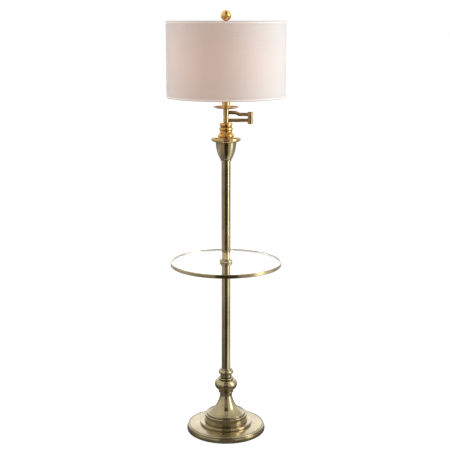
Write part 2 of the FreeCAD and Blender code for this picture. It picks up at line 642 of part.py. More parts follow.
def arm_sweep(name, radius):
    """The upper arm's rod: level at the elbow, a shallow double bend, and level at the post."""
    start = size.hub_radius - size.arm_socket
    end = size.arm_reach - size.knuckle_radius + size.arm_socket
    drop = elbow_arm_level - post_arm_level
    body = document.addObject("PartDesign::Body", name)
    path = new_sketch(body, "XZ_Plane", name + "_path")
    middle = between(size.bend_start, size.bend_end, 0.5)
    corners = [(start, 0), (size.bend_start, 0), (middle, drop / 2), (size.bend_end, drop), (end, drop)]
    quarter, three = between(size.bend_start, middle, 0.5), between(middle, size.bend_end, 0.5)
    early = 0.13
    lines = [
        Part.LineSegment(vector(corners[0]), vector(corners[1])),
        Part.Arc(vector(corners[1]), vector((quarter, drop * early)), vector(corners[2])),
        Part.Arc(vector(corners[2]), vector((three, drop * (1 - early))), vector(corners[3])),
        Part.LineSegment(vector(corners[3]), vector(corners[4]))]
    ends = []
    for index, line in enumerate(lines):
        path.addGeometry(line, False)
        near = path.getPoint(index, 1).distanceToPoint(vector(corners[index])) < 1e-6
        ends.append((1, 2) if near else (2, 1))
    for index in range(3):
        path.addConstraint(Sketcher.Constraint("Tangent", index, ends[index][1], index + 1, ends[index + 1][0]))
    path.addConstraint(Sketcher.Constraint("Equal", 1, 2))
    fix_point(path, 0, ends[0][0], corners[0])
    fix_point(path, 0, ends[0][1], corners[1])
    fix_point(path, 3, ends[3][0], corners[3])
    path.addConstraint(Sketcher.Constraint("Horizontal", 3))
    fix_across(path, 3, ends[3][1], end)
    section = new_sketch(body, "YZ_Plane", name + "_section")
    section.AttachmentOffset = FreeCAD.Placement(
        FreeCAD.Vector(0, 0, start.number), FreeCAD.Rotation())
    section.setExpression("AttachmentOffset.Base.z", start.formula)
    section.addGeometry(Part.Circle(FreeCAD.Vector(0, 0, 0), FreeCAD.Vector(0, 0, 1), radius.number), False)
    section.addConstraint(Sketcher.Constraint("Coincident", 0, 3, -1, 1))
    index = section.addConstraint(Sketcher.Constraint("Radius", 0, radius.number))
    section.setExpression(f"Constraints[{index}]", radius.formula)
    sweep = body.newObject("PartDesign::AdditivePipe", name + "_sweep")
    sweep.Profile = section
    sweep.Spine = path
    return put(body, z=post_arm_level)


def fix_across(sketch, geometry, end, value):
    """Hold only a point's place across."""
    index = sketch.addConstraint(Sketcher.Constraint("DistanceX", -1, 1, geometry, end, value.number))
    sketch.setExpression(f"Constraints[{index}]", value.formula)


def make_upper_arm():
    """The second arm, the other half of the elbow and the post that carries the lamp holder."""
    post = ring("socket_post_blank", size.pipe_bore, size.hub_radius, post_height, post_level)
    node(cut("socket_post", post, arm_sweep("post_socket", size.arm_radius)))
    knuckle = turned("upper_knuckle_blank", [
        (size.pin_radius + size.pivot_fit, 0), (size.knuckle_radius, 0),
        (size.knuckle_radius, upper_knuckle_height),
        (size.pin_head_radius + size.turning_gap, upper_knuckle_height),
        (size.pin_head_radius + size.turning_gap, upper_knuckle_height - size.pin_head - size.turning_gap),
        (size.pin_radius + size.pivot_fit, upper_knuckle_height - size.pin_head - size.turning_gap)],
        upper_knuckle_level, size.arm_reach)
    node(cut("upper_knuckle", knuckle, arm_sweep("knuckle_socket", size.arm_radius)))
    node(arm_sweep("upper_arm", size.arm_radius))


# Lamp holder

pan_level = post_top
candle_level = pan_level + size.pan_dish_height
saddle_level = candle_level + size.candle_height
base_cup_level = saddle_level + size.saddle_thickness
socket_level = base_cup_level + size.base_cup_height
screw_shell_level = socket_level + size.insulator_floor
key_axis_level = socket_level + size.key_level
harp_foot_level = saddle_level + size.saddle_thickness
sleeve_level = harp_foot_level + size.turning_gap


def make_holder():
    """Drip pan, candle cup, saddle, socket with its switch key, and the bulb."""
    wall, lip, top = size.pan_wall, size.pan_lip, size.pan_height
    dish = size.pan_dish_height
    node(turned("drip_pan", [
        (size.pipe_bore, 0), (size.hub_radius, 0),
        (size.pan_hub, dish - wall, between(size.pan_hub, size.pan_radius, 0.5), dish - wall / 2),
        (size.pan_radius - lip, top - lip),
        (size.pan_radius, top - lip / 2, size.pan_radius - lip, top),
        (between(size.pan_hub, size.pan_radius, PAN_HOLLOW), dish + wall / 2),
        (size.pan_hub, dish), (size.pipe_bore, dish)], pan_level))
    foot, waist, height, skin = size.candle_foot, size.candle_waist, size.candle_height, size.candle_wall
    inward, middle, end = CANDLE_CURVE
    node(turned("candle_cup", [
        (foot - skin, 0), (foot, 0), (foot, size.candle_foot_height),
        (between(foot, waist, inward), height * middle, waist, height * end),
        (waist, height), (size.pipe_bore, height), (size.pipe_bore, height - skin),
        (waist - skin, height - skin), (waist - skin, height * end)], candle_level))

    reach, thick, wing = size.harp_foot_reach, size.saddle_thickness, size.saddle_wing
    half = thick / 2
    saddle = padded("saddle_strip", [
        (-(reach + half), 0), (reach + half, 0), (reach + half, wing), (reach - half, wing),
        (reach - half, thick), (-(reach - half), thick), (-(reach - half), wing), (-(reach + half), wing)],
        size.harp_wire * 2, saddle_level)
    cup, cup_wall = size.socket_radius - size.base_cup_inset, size.base_cup_wall
    centre = ring("saddle_centre", size.pipe_bore, cup, thick, saddle_level)
    way = cylinder("saddle_way", size.pipe_bore, thick * 3, z=saddle_level - thick)
    node(cut("harp_saddle", fused("saddle_whole", [saddle, centre]), way))

    node(turned("socket_base_cup", [
        (size.pipe_bore, 0), (cup, 0),
        (size.socket_radius, size.base_cup_height / 2, size.socket_radius, size.base_cup_height),
        (size.socket_radius - cup_wall, size.base_cup_height), (cup - cup_wall, cup_wall),
        (size.pipe_bore, cup_wall)], base_cup_level))
    shell = ring("socket_tube", size.socket_radius - size.socket_wall, size.socket_radius,
                 size.socket_height, socket_level)
    key_hole = size.key_shaft_radius + size.pivot_fit
    node(cut("socket_shell", shell, cylinder(
        "key_way", key_hole, size.socket_radius * 2, z=key_axis_level, along="-y")))
    inner = size.socket_radius - size.socket_wall - size.pivot_fit
    well, insulator_top = inner - size.insulator_wall, size.socket_height - size.insulator_inset
    screw = well - size.pivot_fit
    block = turned("insulator_block", [
        (size.pipe_bore, 0), (inner, 0), (inner, insulator_top),
        (well, insulator_top), (well, size.insulator_floor),
        (size.pipe_bore, size.insulator_floor)], socket_level)
    node(cut("socket_insulator", block, cylinder(
        "insulator_key_way", key_hole, size.socket_radius * 2, z=key_axis_level, along="-y")))
    node(ring("screw_shell", screw - size.screw_shell_wall, screw, size.screw_shell_height,
              screw_shell_level))
    node(turned("centre_contact", [
        (0, 0), (size.contact_radius, 0), (size.contact_radius, size.contact_height / 2),
        (0, size.contact_height)], screw_shell_level))

    shaft = cylinder("key_shaft", size.key_shaft_radius, size.key_reach - size.key_inset,
                     y=-size.key_inset, z=key_axis_level, along="-y")
    knob = cylinder("key_knob", size.key_knob_radius, size.key_knob_length,
                    y=-size.key_reach, z=key_axis_level, along="-y")
    node(fused("switch_key", [shaft, knob]))

    tip = screw_shell_level + size.contact_height
    base, ball = size.bulb_base_height, size.bulb_radius
    base_radius = screw - size.screw_shell_wall - size.bulb_fit
    node(turned("bulb_base", [
        (0, 0), (size.contact_radius, 0), (base_radius, size.bulb_base_cone),
        (base_radius, base), (0, base)], tip))
    glass, length = size.bulb_glass, size.bulb_length
    shoulder, crown = ball * root(0.5), length - ball + ball * root(0.5)
    inner, neck = ball - glass, base_radius + size.bulb_neck_step
    curve = [on_curve(share, (neck, 0), (ball, length)) for share in BULB_CURVE]
    outside = [
        (neck, 0), (*curve[0], *curve[1]), (ball, length - ball), (shoulder, crown, 0, length)]
    inside = [
        (0, length - glass),
        (inner * root(0.5), length - ball + inner * root(0.5), inner, length - ball),
        (curve[2][0] - glass, curve[2][1]), (neck - glass, glass), (neck - glass, 0)]
    node(turned("bulb_glass", outside + inside, tip + base))


# Harp and shade

harp_top = harp_foot_level + size.harp_height
stud_level = harp_top + size.harp_wire
spider_level = stud_level + size.stud_plate
shade_top = spider_level + size.shade_top_rise
shade_bottom = shade_top - size.shade_height


def harp_path():
    """Half of the harp's bent wire, from a foot to the crown, as edges in the lamp's XZ plane.

    The leg stands upright, leans out by the lean angle on a small bend, sweeps back in on a
    long arc to the same angle, and closes over the top on the arc that meets the axis level.
    """
    lean = math.radians(SIZES["harp_lean"])
    reach, leg, bend = SIZES["harp_foot_reach"], SIZES["harp_leg"], SIZES["harp_bend"]
    height = SIZES["harp_height"]
    out_x, out_z = reach + bend * (1 - math.cos(lean)), leg + bend * math.sin(lean)
    closing = (1 - math.sin(lean)) / math.cos(lean)
    long_arc = (height - out_z - closing * out_x) / (2 * math.sin(lean))
    crown = out_x / math.cos(lean)
    centre_x, centre_z = out_x - long_arc * math.cos(lean), out_z + long_arc * math.sin(lean)
    in_z = centre_z + long_arc * math.sin(lean)
    crown_z = in_z - crown * math.sin(lean)
    half_turn = lean + (math.pi / 2 - lean) / 2

    def place(x, z):
        return FreeCAD.Vector(x, 0, z)

    return [
        Part.LineSegment(place(reach, 0), place(reach, leg)),
        Part.Arc(place(reach, leg),
                 place(reach + bend * (1 - math.cos(lean / 2)), leg + bend * math.sin(lean / 2)),
                 place(out_x, out_z)),
        Part.Arc(place(out_x, out_z), place(centre_x + long_arc, centre_z), place(out_x, in_z)),
        Part.Arc(place(out_x, in_z),
                 place(crown * math.cos(half_turn), crown_z + crown * math.sin(half_turn)),
                 place(0, height))]


def make_harp():
    """The bent wire harp, the two sleeves that lock its feet, and the stud on its crown."""
    edges = [curve.toShape() for curve in harp_path()]
    mirrored = [edge.mirror(FreeCAD.Vector(0, 0, 0), FreeCAD.Vector(1, 0, 0)) for edge in reversed(edges)]
    path = Part.Wire(edges + mirrored)
    foot = FreeCAD.Vector(SIZES["harp_foot_reach"], 0, 0)
    circle = Part.Wire(Part.Circle(foot, FreeCAD.Vector(0, 0, 1), SIZES["harp_wire"]).toShape())
    wire = document.addObject("Part::Feature", "harp_wire_blank")
    wire.Shape = path.makePipeShell([circle], True, False)
    put(wire, z=harp_foot_level)
    slots = []
    for side in (-1, 1):
        slot = document.addObject("Part::Box", "harp_slot_left" if side < 0 else "harp_slot_right")
        for prop, value in (("Length", size.saddle_thickness), ("Width", size.harp_wire * 4),
                            ("Height", size.saddle_wing)):
            slot.setExpression(prop, value.formula)
        put(slot, x=size.harp_foot_reach * side - size.saddle_thickness / 2, y=-(size.harp_wire * 2),
            z=harp_foot_level - size.saddle_thickness)
        slots.append(slot)
    node(cut("harp", wire, *slots))
    inner = size.harp_wire + size.sleeve_clearance
    for side, name in ((-1, "harp_sleeve_left"), (1, "harp_sleeve_right")):
        node(ring(name, inner, inner + size.sleeve_wall, size.sleeve_length, sleeve_level,
                  size.harp_foot_reach * side))
    node(turned("harp_stud", [
        (0, 0), (size.stud_plate_radius, 0), (size.stud_plate_radius, size.stud_plate),
        (size.stud_radius, size.stud_plate), (size.stud_radius, size.stud_plate + size.stud_height),
        (0, size.stud_plate + size.stud_height)], stud_level))


def make_shade():
    """Fabric, liner, two wire rings, the spider that hangs them on the harp, and edge trim."""
    outer = size.shade_radius
    inner = outer - size.fabric_thickness
    lining = inner - size.liner_thickness
    node(ring("shade_fabric", inner, outer, size.shade_height, shade_bottom))
    node(ring("shade_liner", lining, inner, size.shade_height, shade_bottom))
    for name, level in (("shade_trim_bottom", shade_bottom),
                        ("shade_trim_top", shade_top - size.trim_height)):
        node(ring(name, outer, outer + size.trim_thickness, size.trim_height, level))
    ring_radius = lining - size.ring_gap - size.ring_wire
    ring_inset = size.ring_wire + size.ring_gap
    for name, level in (("shade_ring_bottom", shade_bottom + ring_inset),
                        ("shade_ring_top", shade_top - ring_inset)):
        wire = document.addObject("Part::Torus", name)
        for prop, value in (("Radius1", ring_radius), ("Radius2", size.ring_wire)):
            setattr(wire, prop, value.number)
            wire.setExpression(prop, value.formula)
        node(put(wire, z=level))

    washer = ring("spider_washer", size.spider_hole, size.spider_ring, size.spider_thickness, spider_level)
    arm = document.addObject("Part::Feature", "spider_arms_blank")
    start = SIZES["spider_ring"] - SIZES["spider_wire"]
    end = (ring_radius - size.ring_wire).number
    rise = (shade_top - ring_inset - spider_level).number - SIZES["spider_thickness"] / 2
    rods = []
    for turn in range(SPIDER_ARMS):
        angle = math.radians(90 + 360 * turn / SPIDER_ARMS)
        out = FreeCAD.Vector(math.cos(angle), math.sin(angle), 0)
        direction = out * (end - start) + FreeCAD.Vector(0, 0, rise)
        rods.append(Part.makeCylinder(SIZES["spider_wire"], direction.Length, out * start, direction))
    arm.Shape = rods[0].multiFuse(rods[1:])
    put(arm, z=spider_level + size.spider_thickness / 2)
    spider = fused("spider_whole", [washer, arm])
    way = cylinder("spider_way", size.spider_hole, size.spider_thickness * 8,
                   z=spider_level - size.spider_thickness * 4)
    node(cut("shade_spider", spider, way))

    hole_radius = size.stud_radius + size.pivot_fit
    neck, base, ball = size.finial_neck, size.finial_base, size.finial_radius
    centre = size.finial_centre
    neck_top = centre - root(ball * ball - neck * neck)
    thread_top = size.stud_height - size.spider_thickness + size.finial_thread_end
    node(turned("finial", [
        (hole_radius, 0), (base, 0), (base, size.finial_base_height),
        (neck, size.finial_base_height + size.finial_step),
        (neck * FINIAL_CURVE[0], neck_top * FINIAL_CURVE[1], neck, neck_top),
        (ball, centre, 0, centre + ball), (0, thread_top), (hole_radius, thread_top)],
        spider_level + size.spider_thickness + size.turning_gap))


def check_and_export():
    """Stop on a failed object or a bad solid, and write every piece to its own file."""
    document.recompute()
    for thing in document.Objects:
        if "Invalid" in thing.State or "Error" in thing.State:
            raise RuntimeError(f"{thing.Name} is {thing.State}")
    os.makedirs("parts", exist_ok=True)
    for piece in NODES:
        shape = piece.Shape
        if shape.isNull() or not shape.isValid() or not shape.Solids:
            raise RuntimeError(f"{piece.Label} has no valid solid")
        shape.exportStep(f"parts/{piece.Label}.step")
        box = shape.BoundBox
        print(f"{piece.Label:20s} solids {len(shape.Solids)}  z {box.ZMin:8.2f} .. {box.ZMax:8.2f}"
              f"  x {box.XMin:8.2f} .. {box.XMax:8.2f}  volume {shape.Volume:12.1f}")


make_foot()
make_spindle()
make_column()
make_table()
make_head()
make_lower_arm()
make_upper_arm()
make_holder()
make_harp()
make_shade()
check_and_export()
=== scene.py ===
"""Looks of a floor lamp with a swing arm, a drum shade and a round glass table on its column.

The packed lamp is the fixed frame. Each piece that shows is modelled here in the place of the
built one, with its finish, and the fittings inside keep their built form. Lengths are metres.
"""

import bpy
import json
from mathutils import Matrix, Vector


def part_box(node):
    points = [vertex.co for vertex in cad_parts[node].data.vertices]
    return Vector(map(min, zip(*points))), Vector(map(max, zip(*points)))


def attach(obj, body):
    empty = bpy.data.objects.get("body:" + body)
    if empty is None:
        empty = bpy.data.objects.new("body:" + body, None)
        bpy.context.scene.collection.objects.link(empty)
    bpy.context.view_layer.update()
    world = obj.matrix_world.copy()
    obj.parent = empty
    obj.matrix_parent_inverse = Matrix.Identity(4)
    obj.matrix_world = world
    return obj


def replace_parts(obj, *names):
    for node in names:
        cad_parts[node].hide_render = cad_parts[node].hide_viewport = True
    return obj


bl_info = {
    "name": "Swing Arm Floor Lamp",
    "version": (1, 0, 0),
    "blender": (4, 5, 0),
    "location": "View3D > Sidebar > Floor Lamp",
    "description": "Finishes a floor lamp with a swing arm, a drum shade and a round glass table",
    "category": "Add Mesh",
}

import json
import math

import bpy
from bpy.props import FloatProperty, FloatVectorProperty, IntProperty, PointerProperty
from mathutils import Vector

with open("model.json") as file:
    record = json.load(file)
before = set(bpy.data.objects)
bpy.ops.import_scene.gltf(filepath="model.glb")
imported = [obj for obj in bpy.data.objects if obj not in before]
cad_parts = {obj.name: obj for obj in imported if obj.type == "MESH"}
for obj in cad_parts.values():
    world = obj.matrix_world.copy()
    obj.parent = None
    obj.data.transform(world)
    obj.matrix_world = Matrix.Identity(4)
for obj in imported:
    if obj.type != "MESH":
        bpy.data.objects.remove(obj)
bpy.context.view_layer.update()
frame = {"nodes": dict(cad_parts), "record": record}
RECORD = frame["record"]
SLOT_OF = {part["node"]: part["material_slot"] for part in RECORD["subparts"]}
BODY_OF = {node: body for body, nodes in RECORD["behaviour"]["bodies"].items() for node in nodes}

MM = 0.001
AXIS_REACH = 1e-7
MERGE_REACH = 2e-6
GLASS_STEPS, FINE_STEPS, DRUM_STEPS, ROUND_STEPS, CANDLE_STEPS, SMALL_STEPS = 256, 192, 160, 128, 96, 64
SLEEVE_STEPS, WIRE_STEPS, WIRE_FACETS = 48, 24, 7
ARC_STEP = math.radians(9)
# How far the middle of a rounding lies in from its corner, as a share of the rounding
ARC_SHARE = 0.3
SOFT_EDGE = 0.3 * MM
SOFT_ANGLE = math.radians(24)
SOFT_STEPS = 3
SOFT_SHARE = 0.42
SMOOTH_ANGLE = math.radians(32)
# Curves as shares of their width and height
FLARE_CURVE = ((0.25, 0.10), (0.45, 0.20), (0.64, 0.33), (0.76, 0.475), (0.90, 0.70))
CUP_CURVE = ((0.59, 0.37), (0.86, 0.70))
CUP_INSIDE = (0.84, 0.70)
CONE_CURVE = (0.40, 0.50)
BULB_CURVE = ((0.38, 0.25), (0.86, 0.45))
RIDGE_CREST = (0.35, 0.70)
CAP_RIM_FOOT, CAP_RIM_CREST, CAP_RIM_TOP = 0.125, 0.6, 1.14
CAP_BEADS = (0.4, 0.8, 0.2, 0.2)
FLANGE_CURVE, FLANGE_FOOT, FLANGE_MIDDLE = 0.3, 1.4, 1.1
TABLE_COLLAR_SIDE, TABLE_COLLAR_CURVE = 0.45, (0.35, 0.80)
PAN_OUTSIDE, PAN_INSIDE = 0.5, 0.45
CANDLE_CURVE, CANDLE_SHOULDER = (0.8, 0.3), 0.62
# Bores as shares of the arm's pivot and of the harp's stud
HUB_BORE, ELBOW_BORE, STUD_BORE = 0.6, 0.85, 0.45
# The switch key's shaft, knob and flutes as shares of the knob's radius
KEY_SHAFT, KNOB_LENGTH, KNOB_FACE, KNOB_ROUND, KNOB_CROWN, FLUTE_START = 0.27, 1.5, 0.7, 0.3, (0.6, 0.05), 0.2
FLUTES = 16
CONTACT_SHARE = 0.31
BEND_STEPS, HARP_STEPS, CLOTH_ROWS, SEAM_CUTS = 8, 12, 18, 15
# The linen's unevenness: waves round the drum, waves up it, phase and strength
CLOTH_WAVES = ((5, 2.0, 0.0, 1.0), (11, -5.0, 1.3, 0.6), (23, 9.0, 0.4, 0.4))

FINE_RELIEF, RELIEF = 0.006 * MM, 0.02 * MM
LACQUER_ROUGHNESS, LACQUER_INDEX = 0.10, 1.6
ACROSS_THE_LINES = 0.25
# From and to which radius the cap's rim turns paler with a painted pale reflection, and how much
PAINTED_REFLECTION_RIM, PAINTED_REFLECTION_SHARE = (0.041, 0.047), 0.55
# Corners turned about the lamp's axis that are darkened with painted shade, along with some patina: radius,
# level and reach
RECESSES = (
    (0.1408, 0.0184, 0.0020), (0.1349, 0.0222, 0.0021), (0.0950, 0.0255, 0.0026), (0.0782, 0.0350, 0.0024),
    (0.0782, 0.0404, 0.0014), (0.0714, 0.0630, 0.0022), (0.0690, 0.0672, 0.0016), (0.0252, 0.1456, 0.0030),
    (0.0270, 0.1512, 0.0026), (0.0270, 0.1962, 0.0024), (0.0220, 0.2045, 0.0028), (0.0212, 0.2158, 0.0026),
    (0.0197, 0.2330, 0.0024), (0.0200, 1.0098, 0.0018), (0.0376, 1.0714, 0.0020), (0.0310, 1.0918, 0.0026),
    (0.0206, 1.1120, 0.0022), (0.0203, 1.1260, 0.0030))
# How far the painted shade fades out round a corner, and its darkest tone
RECESS_SHADE_FADE = (0.35, 1.3)
RECESS_SHADE_TONE = (0.30, 0.255, 0.18)
GLOW_REACH = 0.10
LINEN_PITCH, LINEN_SLUB = 1.1 * MM, 45 * MM
# The tape's weave pitch and slub length, and over what reach the painted shade at its fold fades
TAPE_PITCH, TAPE_SLUB, FOLD_SHADE_FADE = 0.8 * MM, 30 * MM, (0.8 * MM, 2.8 * MM)

# Area lights: size, place, whether they light surfaces or are only reflected, and their turn
LIGHTS = {
    "key_light": ((2.6, 2.4), (3.2, -0.5, 1.7), True, None),
    "fill_light": ((2.4, 2.4), (-3.2, 0.4, 1.6), True, None),
    "front_light": ((1.0, 1.0), (-0.6, -3.6, 1.5), True, None),
    "strip_light": ((1.2, 3.0), (2.85, -0.9, 1.5), False, None),
    "floor_strip": ((2.4, 1.0), (1.6, -0.5, 0.01), False, (math.pi, 0, math.atan2(-0.5, 1.6))),
    "left_card": ((1.6, 0.8), (-2.9, -0.3, 0.6), False, None),
    "back_card": ((4.5, 1.2), (0.3, 4.0, 1.8), False, None),
}
AIM = (0, 0, 0.9)
DARK_CLOTH = (0.03, 0.013, 0.002)
GREY_CLOTH = (0.42, 0.40, 0.36)
FLAG_LEFT, FLAG_RIGHT, FLAG_EYE, FLAG_TOP = -1.9, 2.3, 0.75, 4.2
WALL_AT, BEFORE_WALL, FLOOR_END, OFF_FLOOR = -5.0, -4.98, -4.97, 0.004
FLOOR_FADE_START = 0.4


def length(name, description, millimetres):
    """A length that the user can change, with its default given in millimetres."""
    return FloatProperty(name=name, description=description, default=millimetres * MM, unit="LENGTH",
                         precision=5)


def share(name, description, default):
    return FloatProperty(name=name, description=description, default=default, min=0, max=1, subtype="FACTOR")


def power(name, description, watts):
    return FloatProperty(name=name, description=description, default=watts, min=0, unit="POWER")


def tone(name, description, *rgb):
    return FloatVectorProperty(name=name, description=description, default=rgb, size=3, subtype="COLOR",
                               min=0, max=1)


# Sizes and colours

class FootSizes(bpy.types.PropertyGroup):
    """Sizes of the foot disc, its felt and the cord's gland"""
    bore: length("Bore", "Radius of the hole for the lamp pipe", 5.1)
    wall: length("Wall", "Thickness of the spun metal", 1.5)
    lip_round: length("Lip rounding", "How the rim rolls in at its foot", 4.5)
    bulge: length("Bulge level", "Level of the widest part of the rim", 9.8)
    crease: length("Crease level", "Level of the crease over the rim's bulge", 18.4)
    crease_inset: length("Crease inset", "From the bulge in to the crease", 1.8)
    quirk: length("Quirk", "How far the ridge stands back behind the bulge", 1.3)
    ridge: length("Ridge", "Radius of the round ridge over the crease", 4.8)
    edge: length("Edge level", "Level of the disc at its groove", 23.6)
    groove_inset: length("Groove inset", "From the rim in to the middle of the groove", 8.9)
    groove_width: length("Groove width", "Width of the turned groove", 3.0)
    groove_depth: length("Groove depth", "Depth of the turned groove", 1.7)
    crown: length("Crown", "Rise of the disc from its groove to its step", 1.9)
    dome: length("Dome", "How much the disc swells between groove and step", 0.5)
    step_radius: length("Step radius", "Radius of the step under the drum", 95.0)
    step_round: length("Step rounding", "Rounding of the step's edge", 1.5)
    felt_soft: length("Felt edge", "Rounding of the felt's edge", 0.5)
    recess: length("Recess", "Radius of the opening in felt and cover", 18.0)
    gland_flange: length("Gland flange", "How far the gland's flange stands out", 1.2)
    gland_bore: length("Gland bore", "Radius of the way through the gland", 3.2)


class SpindleSizes(bpy.types.PropertyGroup):
    """Sizes of the drum, flare, ball and collar"""
    drum_round: length("Drum rounding", "Rounding of the drum's top edge", 2.4)
    bead: length("Bead", "How far the drum's bead stands out", 1.0)
    bead_width: length("Bead width", "Width of the bead", 2.4)
    bead_rise: length("Bead rise", "Level of the bead above the drum's foot", 3.0)
    flare_radius: length("Flare radius", "Radius of the flare at its lip", 72.0)
    lip: length("Lip", "Height of the flare's rounded lip", 3.2)
    step: length("Lip step", "Width of the step behind the lip", 2.2)
    step_rise: length("Step rise", "Height of the step", 2.4)
    neck: length("Neck radius", "Radius of the neck under the ball", 22.4)
    ball_radius: length("Ball radius", "Radius at the ball's middle", 41.2)
    ball_bulge: length("Ball bulge", "How far the ball swells past its shoulders", 8.2)
    foot_neck: length("Foot neck", "Height of the neck under the lower ring", 13.0)
    top_neck: length("Top neck", "Height of the neck over the upper ring", 10.4)
    top_inset: length("Top inset", "How much slimmer the top neck is", 2.0)
    ring_radius: length("Ring radius", "Radius of the two rings", 28.0)
    ring_height: length("Ring height", "Height of a ring", 5.5)
    ring_round: length("Ring rounding", "Rounding of a ring's edges", 2.2)
    gap_below: length("Gap below", "From the lower ring to the ball's shoulder", 8.4)
    gap_above: length("Gap above", "From the ball's shoulder to the upper ring", 3.0)
    collar_radius: length("Collar radius", "Radius of the collar's bead", 27.4)
    collar_foot: length("Collar foot", "Height of the collar's slim foot", 3.0)
    collar_lip: length("Collar lip", "Height of the collar's straight lip", 4.0)
    collar_rim: length("Collar rim", "Radius of the collar at the tube", 19.0)


class TableSizes(bpy.types.PropertyGroup):
    """Sizes of the glass, its rim and the fittings that hold it"""
    glass_edge: length("Glass edge", "Polished edge of the glass", 0.8)
    rim_round: length("Rim rounding", "Rounding of the rim's edges", 2.6)
    rim_wall: length("Rim wall", "Width of the rim outside the glass", 5.9)
    rim_ledge: length("Rim ledge", "Width of the ledge under the glass", 5.1)
    rim_drop: length("Rim drop", "From the rim's foot up to the glass", 5.6)
    hub_wall: length("Hub wall", "Wall of the flange and the collar round the tube", 4.4)
    flange_plate: length("Flange plate", "Thickness of the flange's plate", 4.0)
    tube_gap: length("Tube gap", "Gap between the tube and what fits round it", 0.1)


class HeadSizes(bpy.types.PropertyGroup):
    """Sizes of the trumpet cup and the cap over it"""
    cup_foot: length("Cup foot", "Radius of the cup's foot ring", 19.5)
    cup_foot_height: length("Foot height", "Height of the cup's foot ring", 4.5)
    cup_throat: length("Cup throat", "Radius of the cup over its foot", 21.0)
    cup_wall: length("Cup wall", "Thickness of the cup", 1.5)
    underside: length("Underside", "Radius of the cap over the cup's mouth", 38.1)
    overhang: length("Overhang", "How far the cap's rim stands out", 13.6)
    rim_height: length("Rim height", "Height of the cap's rim", 16.0)
    cone_foot: length("Cone foot", "Radius of the cone's foot", 30.5)
    cone_rise: length("Cone level", "Level of the cone's foot", 20.5)
    cone_top: length("Cone top", "Radius of the cone's top", 21.6)
    cone_height: length("Cone height", "Height of the cone", 16.0)
    low_bead: length("Low bead", "Radius of the lower bead", 24.2)
    low_bead_rise: length("Low bead rise", "From the cone's top to the lower bead", 12.0)
    waist: length("Waist", "Radius between the beads", 20.0)
    waist_rise: length("Waist rise", "From the lower bead to the waist", 5.8)
    high_bead: length("High bead", "Radius of the upper bead", 22.3)
    high_bead_rise: length("High bead rise", "From the waist to the upper bead", 8.5)


class ArmSizes(bpy.types.PropertyGroup):
    """Sizes of the swing arm"""
    reach: length("Reach", "From the column's axis to the elbow's", 85.0)
    arm_radius: length("Arm radius", "Radius of an arm's rod", 6.35)
    socket: length("Socket", "How deep an arm sits in its hub", 3.0)
    bend_start: length("Bend start", "Where the upper arm starts to bend", 28.0)
    bend_end: length("Bend end", "Where the upper arm ends its bend", 52.0)
    soft: length("Edge", "Rounding of the hubs' edges", 0.7)
    groove: length("Groove", "Depth of the fine grooves at the hubs' ends", 0.5)


class HolderSizes(bpy.types.PropertyGroup):
    """Sizes of the drip pan, candle cup, socket and bulb"""
    bore: length("Bore", "Radius of the way for the wires", 3.5)
    pan_hub: length("Pan hub", "Radius of the pan's flat middle", 20.0)
    pan_wall: length("Pan wall", "Thickness of the pan", 1.6)
    pan_lip: length("Pan lip", "Height of the pan's rolled lip", 1.7)
    pan_dish: length("Pan dish", "Level of the pan's inner floor", 2.6)
    candle_foot: length("Candle foot", "Radius of the candle cup's foot", 16.0)
    candle_waist: length("Candle waist", "Radius of the candle cup above", 13.9)
    candle_lip: length("Candle lip", "Height of the foot's lip", 2.0)
    wall: length("Wall", "Thickness of the candle cup and the socket", 1.4)
    thread_pitch: length("Thread pitch", "Pitch of the bulb base's thread", 3.6)
    thread_depth: length("Thread depth", "Depth of the bulb base's thread", 0.7)
    knurl_depth: length("Knurl depth", "Depth of the switch key's flutes", 0.5)


class ShadeSizes(bpy.types.PropertyGroup):
    """Sizes of the drum shade, its frame and its harp"""
    fabric: length("Fabric", "Thickness of the linen", 0.8)
    liner: length("Liner", "Thickness of the styrene liner", 0.6)
    unevenness: length("Unevenness", "How far the linen strays from a true drum", 0.25)
    seam_width: length("Seam width", "Width of the overlapped seam at the back", 13.0)
    tape: length("Tape", "Thickness of the hem tape", 0.45)
    tape_inside: length("Tape inside", "How far the hem tape reaches down inside", 5.0)
    wire: length("Wire", "Radius of the rings' and spider's wire", 2.0)
    hub: length("Spider hub", "Radius of the spider's washer", 12.0)
    hub_hole: length("Hub hole", "Radius of the hole for the stud", 5.4)
    harp_wire: length("Harp wire", "Radius of the harp's wire", 2.3)
    harp_reach: length("Harp reach", "From the axis to a foot of the harp", 25.0)
    harp_leg: length("Harp leg", "Height of the harp's straight legs", 32.0)
    harp_bend: length("Harp bend", "Radius of the bend over a leg", 20.0)
    harp_lean: FloatProperty(name="Harp lean", description="How far the harp leans out over a leg",
                             default=math.radians(30), subtype="ANGLE")
    spider_arms: IntProperty(name="Spider arms", description="Arms of the spider", default=3, min=2)


class FinialSizes(bpy.types.PropertyGroup):
    """Sizes of the finial"""
    base: length("Base", "Radius of the finial's base", 8.5)
    base_height: length("Base height", "Height of the base", 2.0)
    neck: length("Neck", "Radius of the neck under the ball", 7.0)
    centre: length("Centre", "Level of the ball's centre over the base", 26.3)


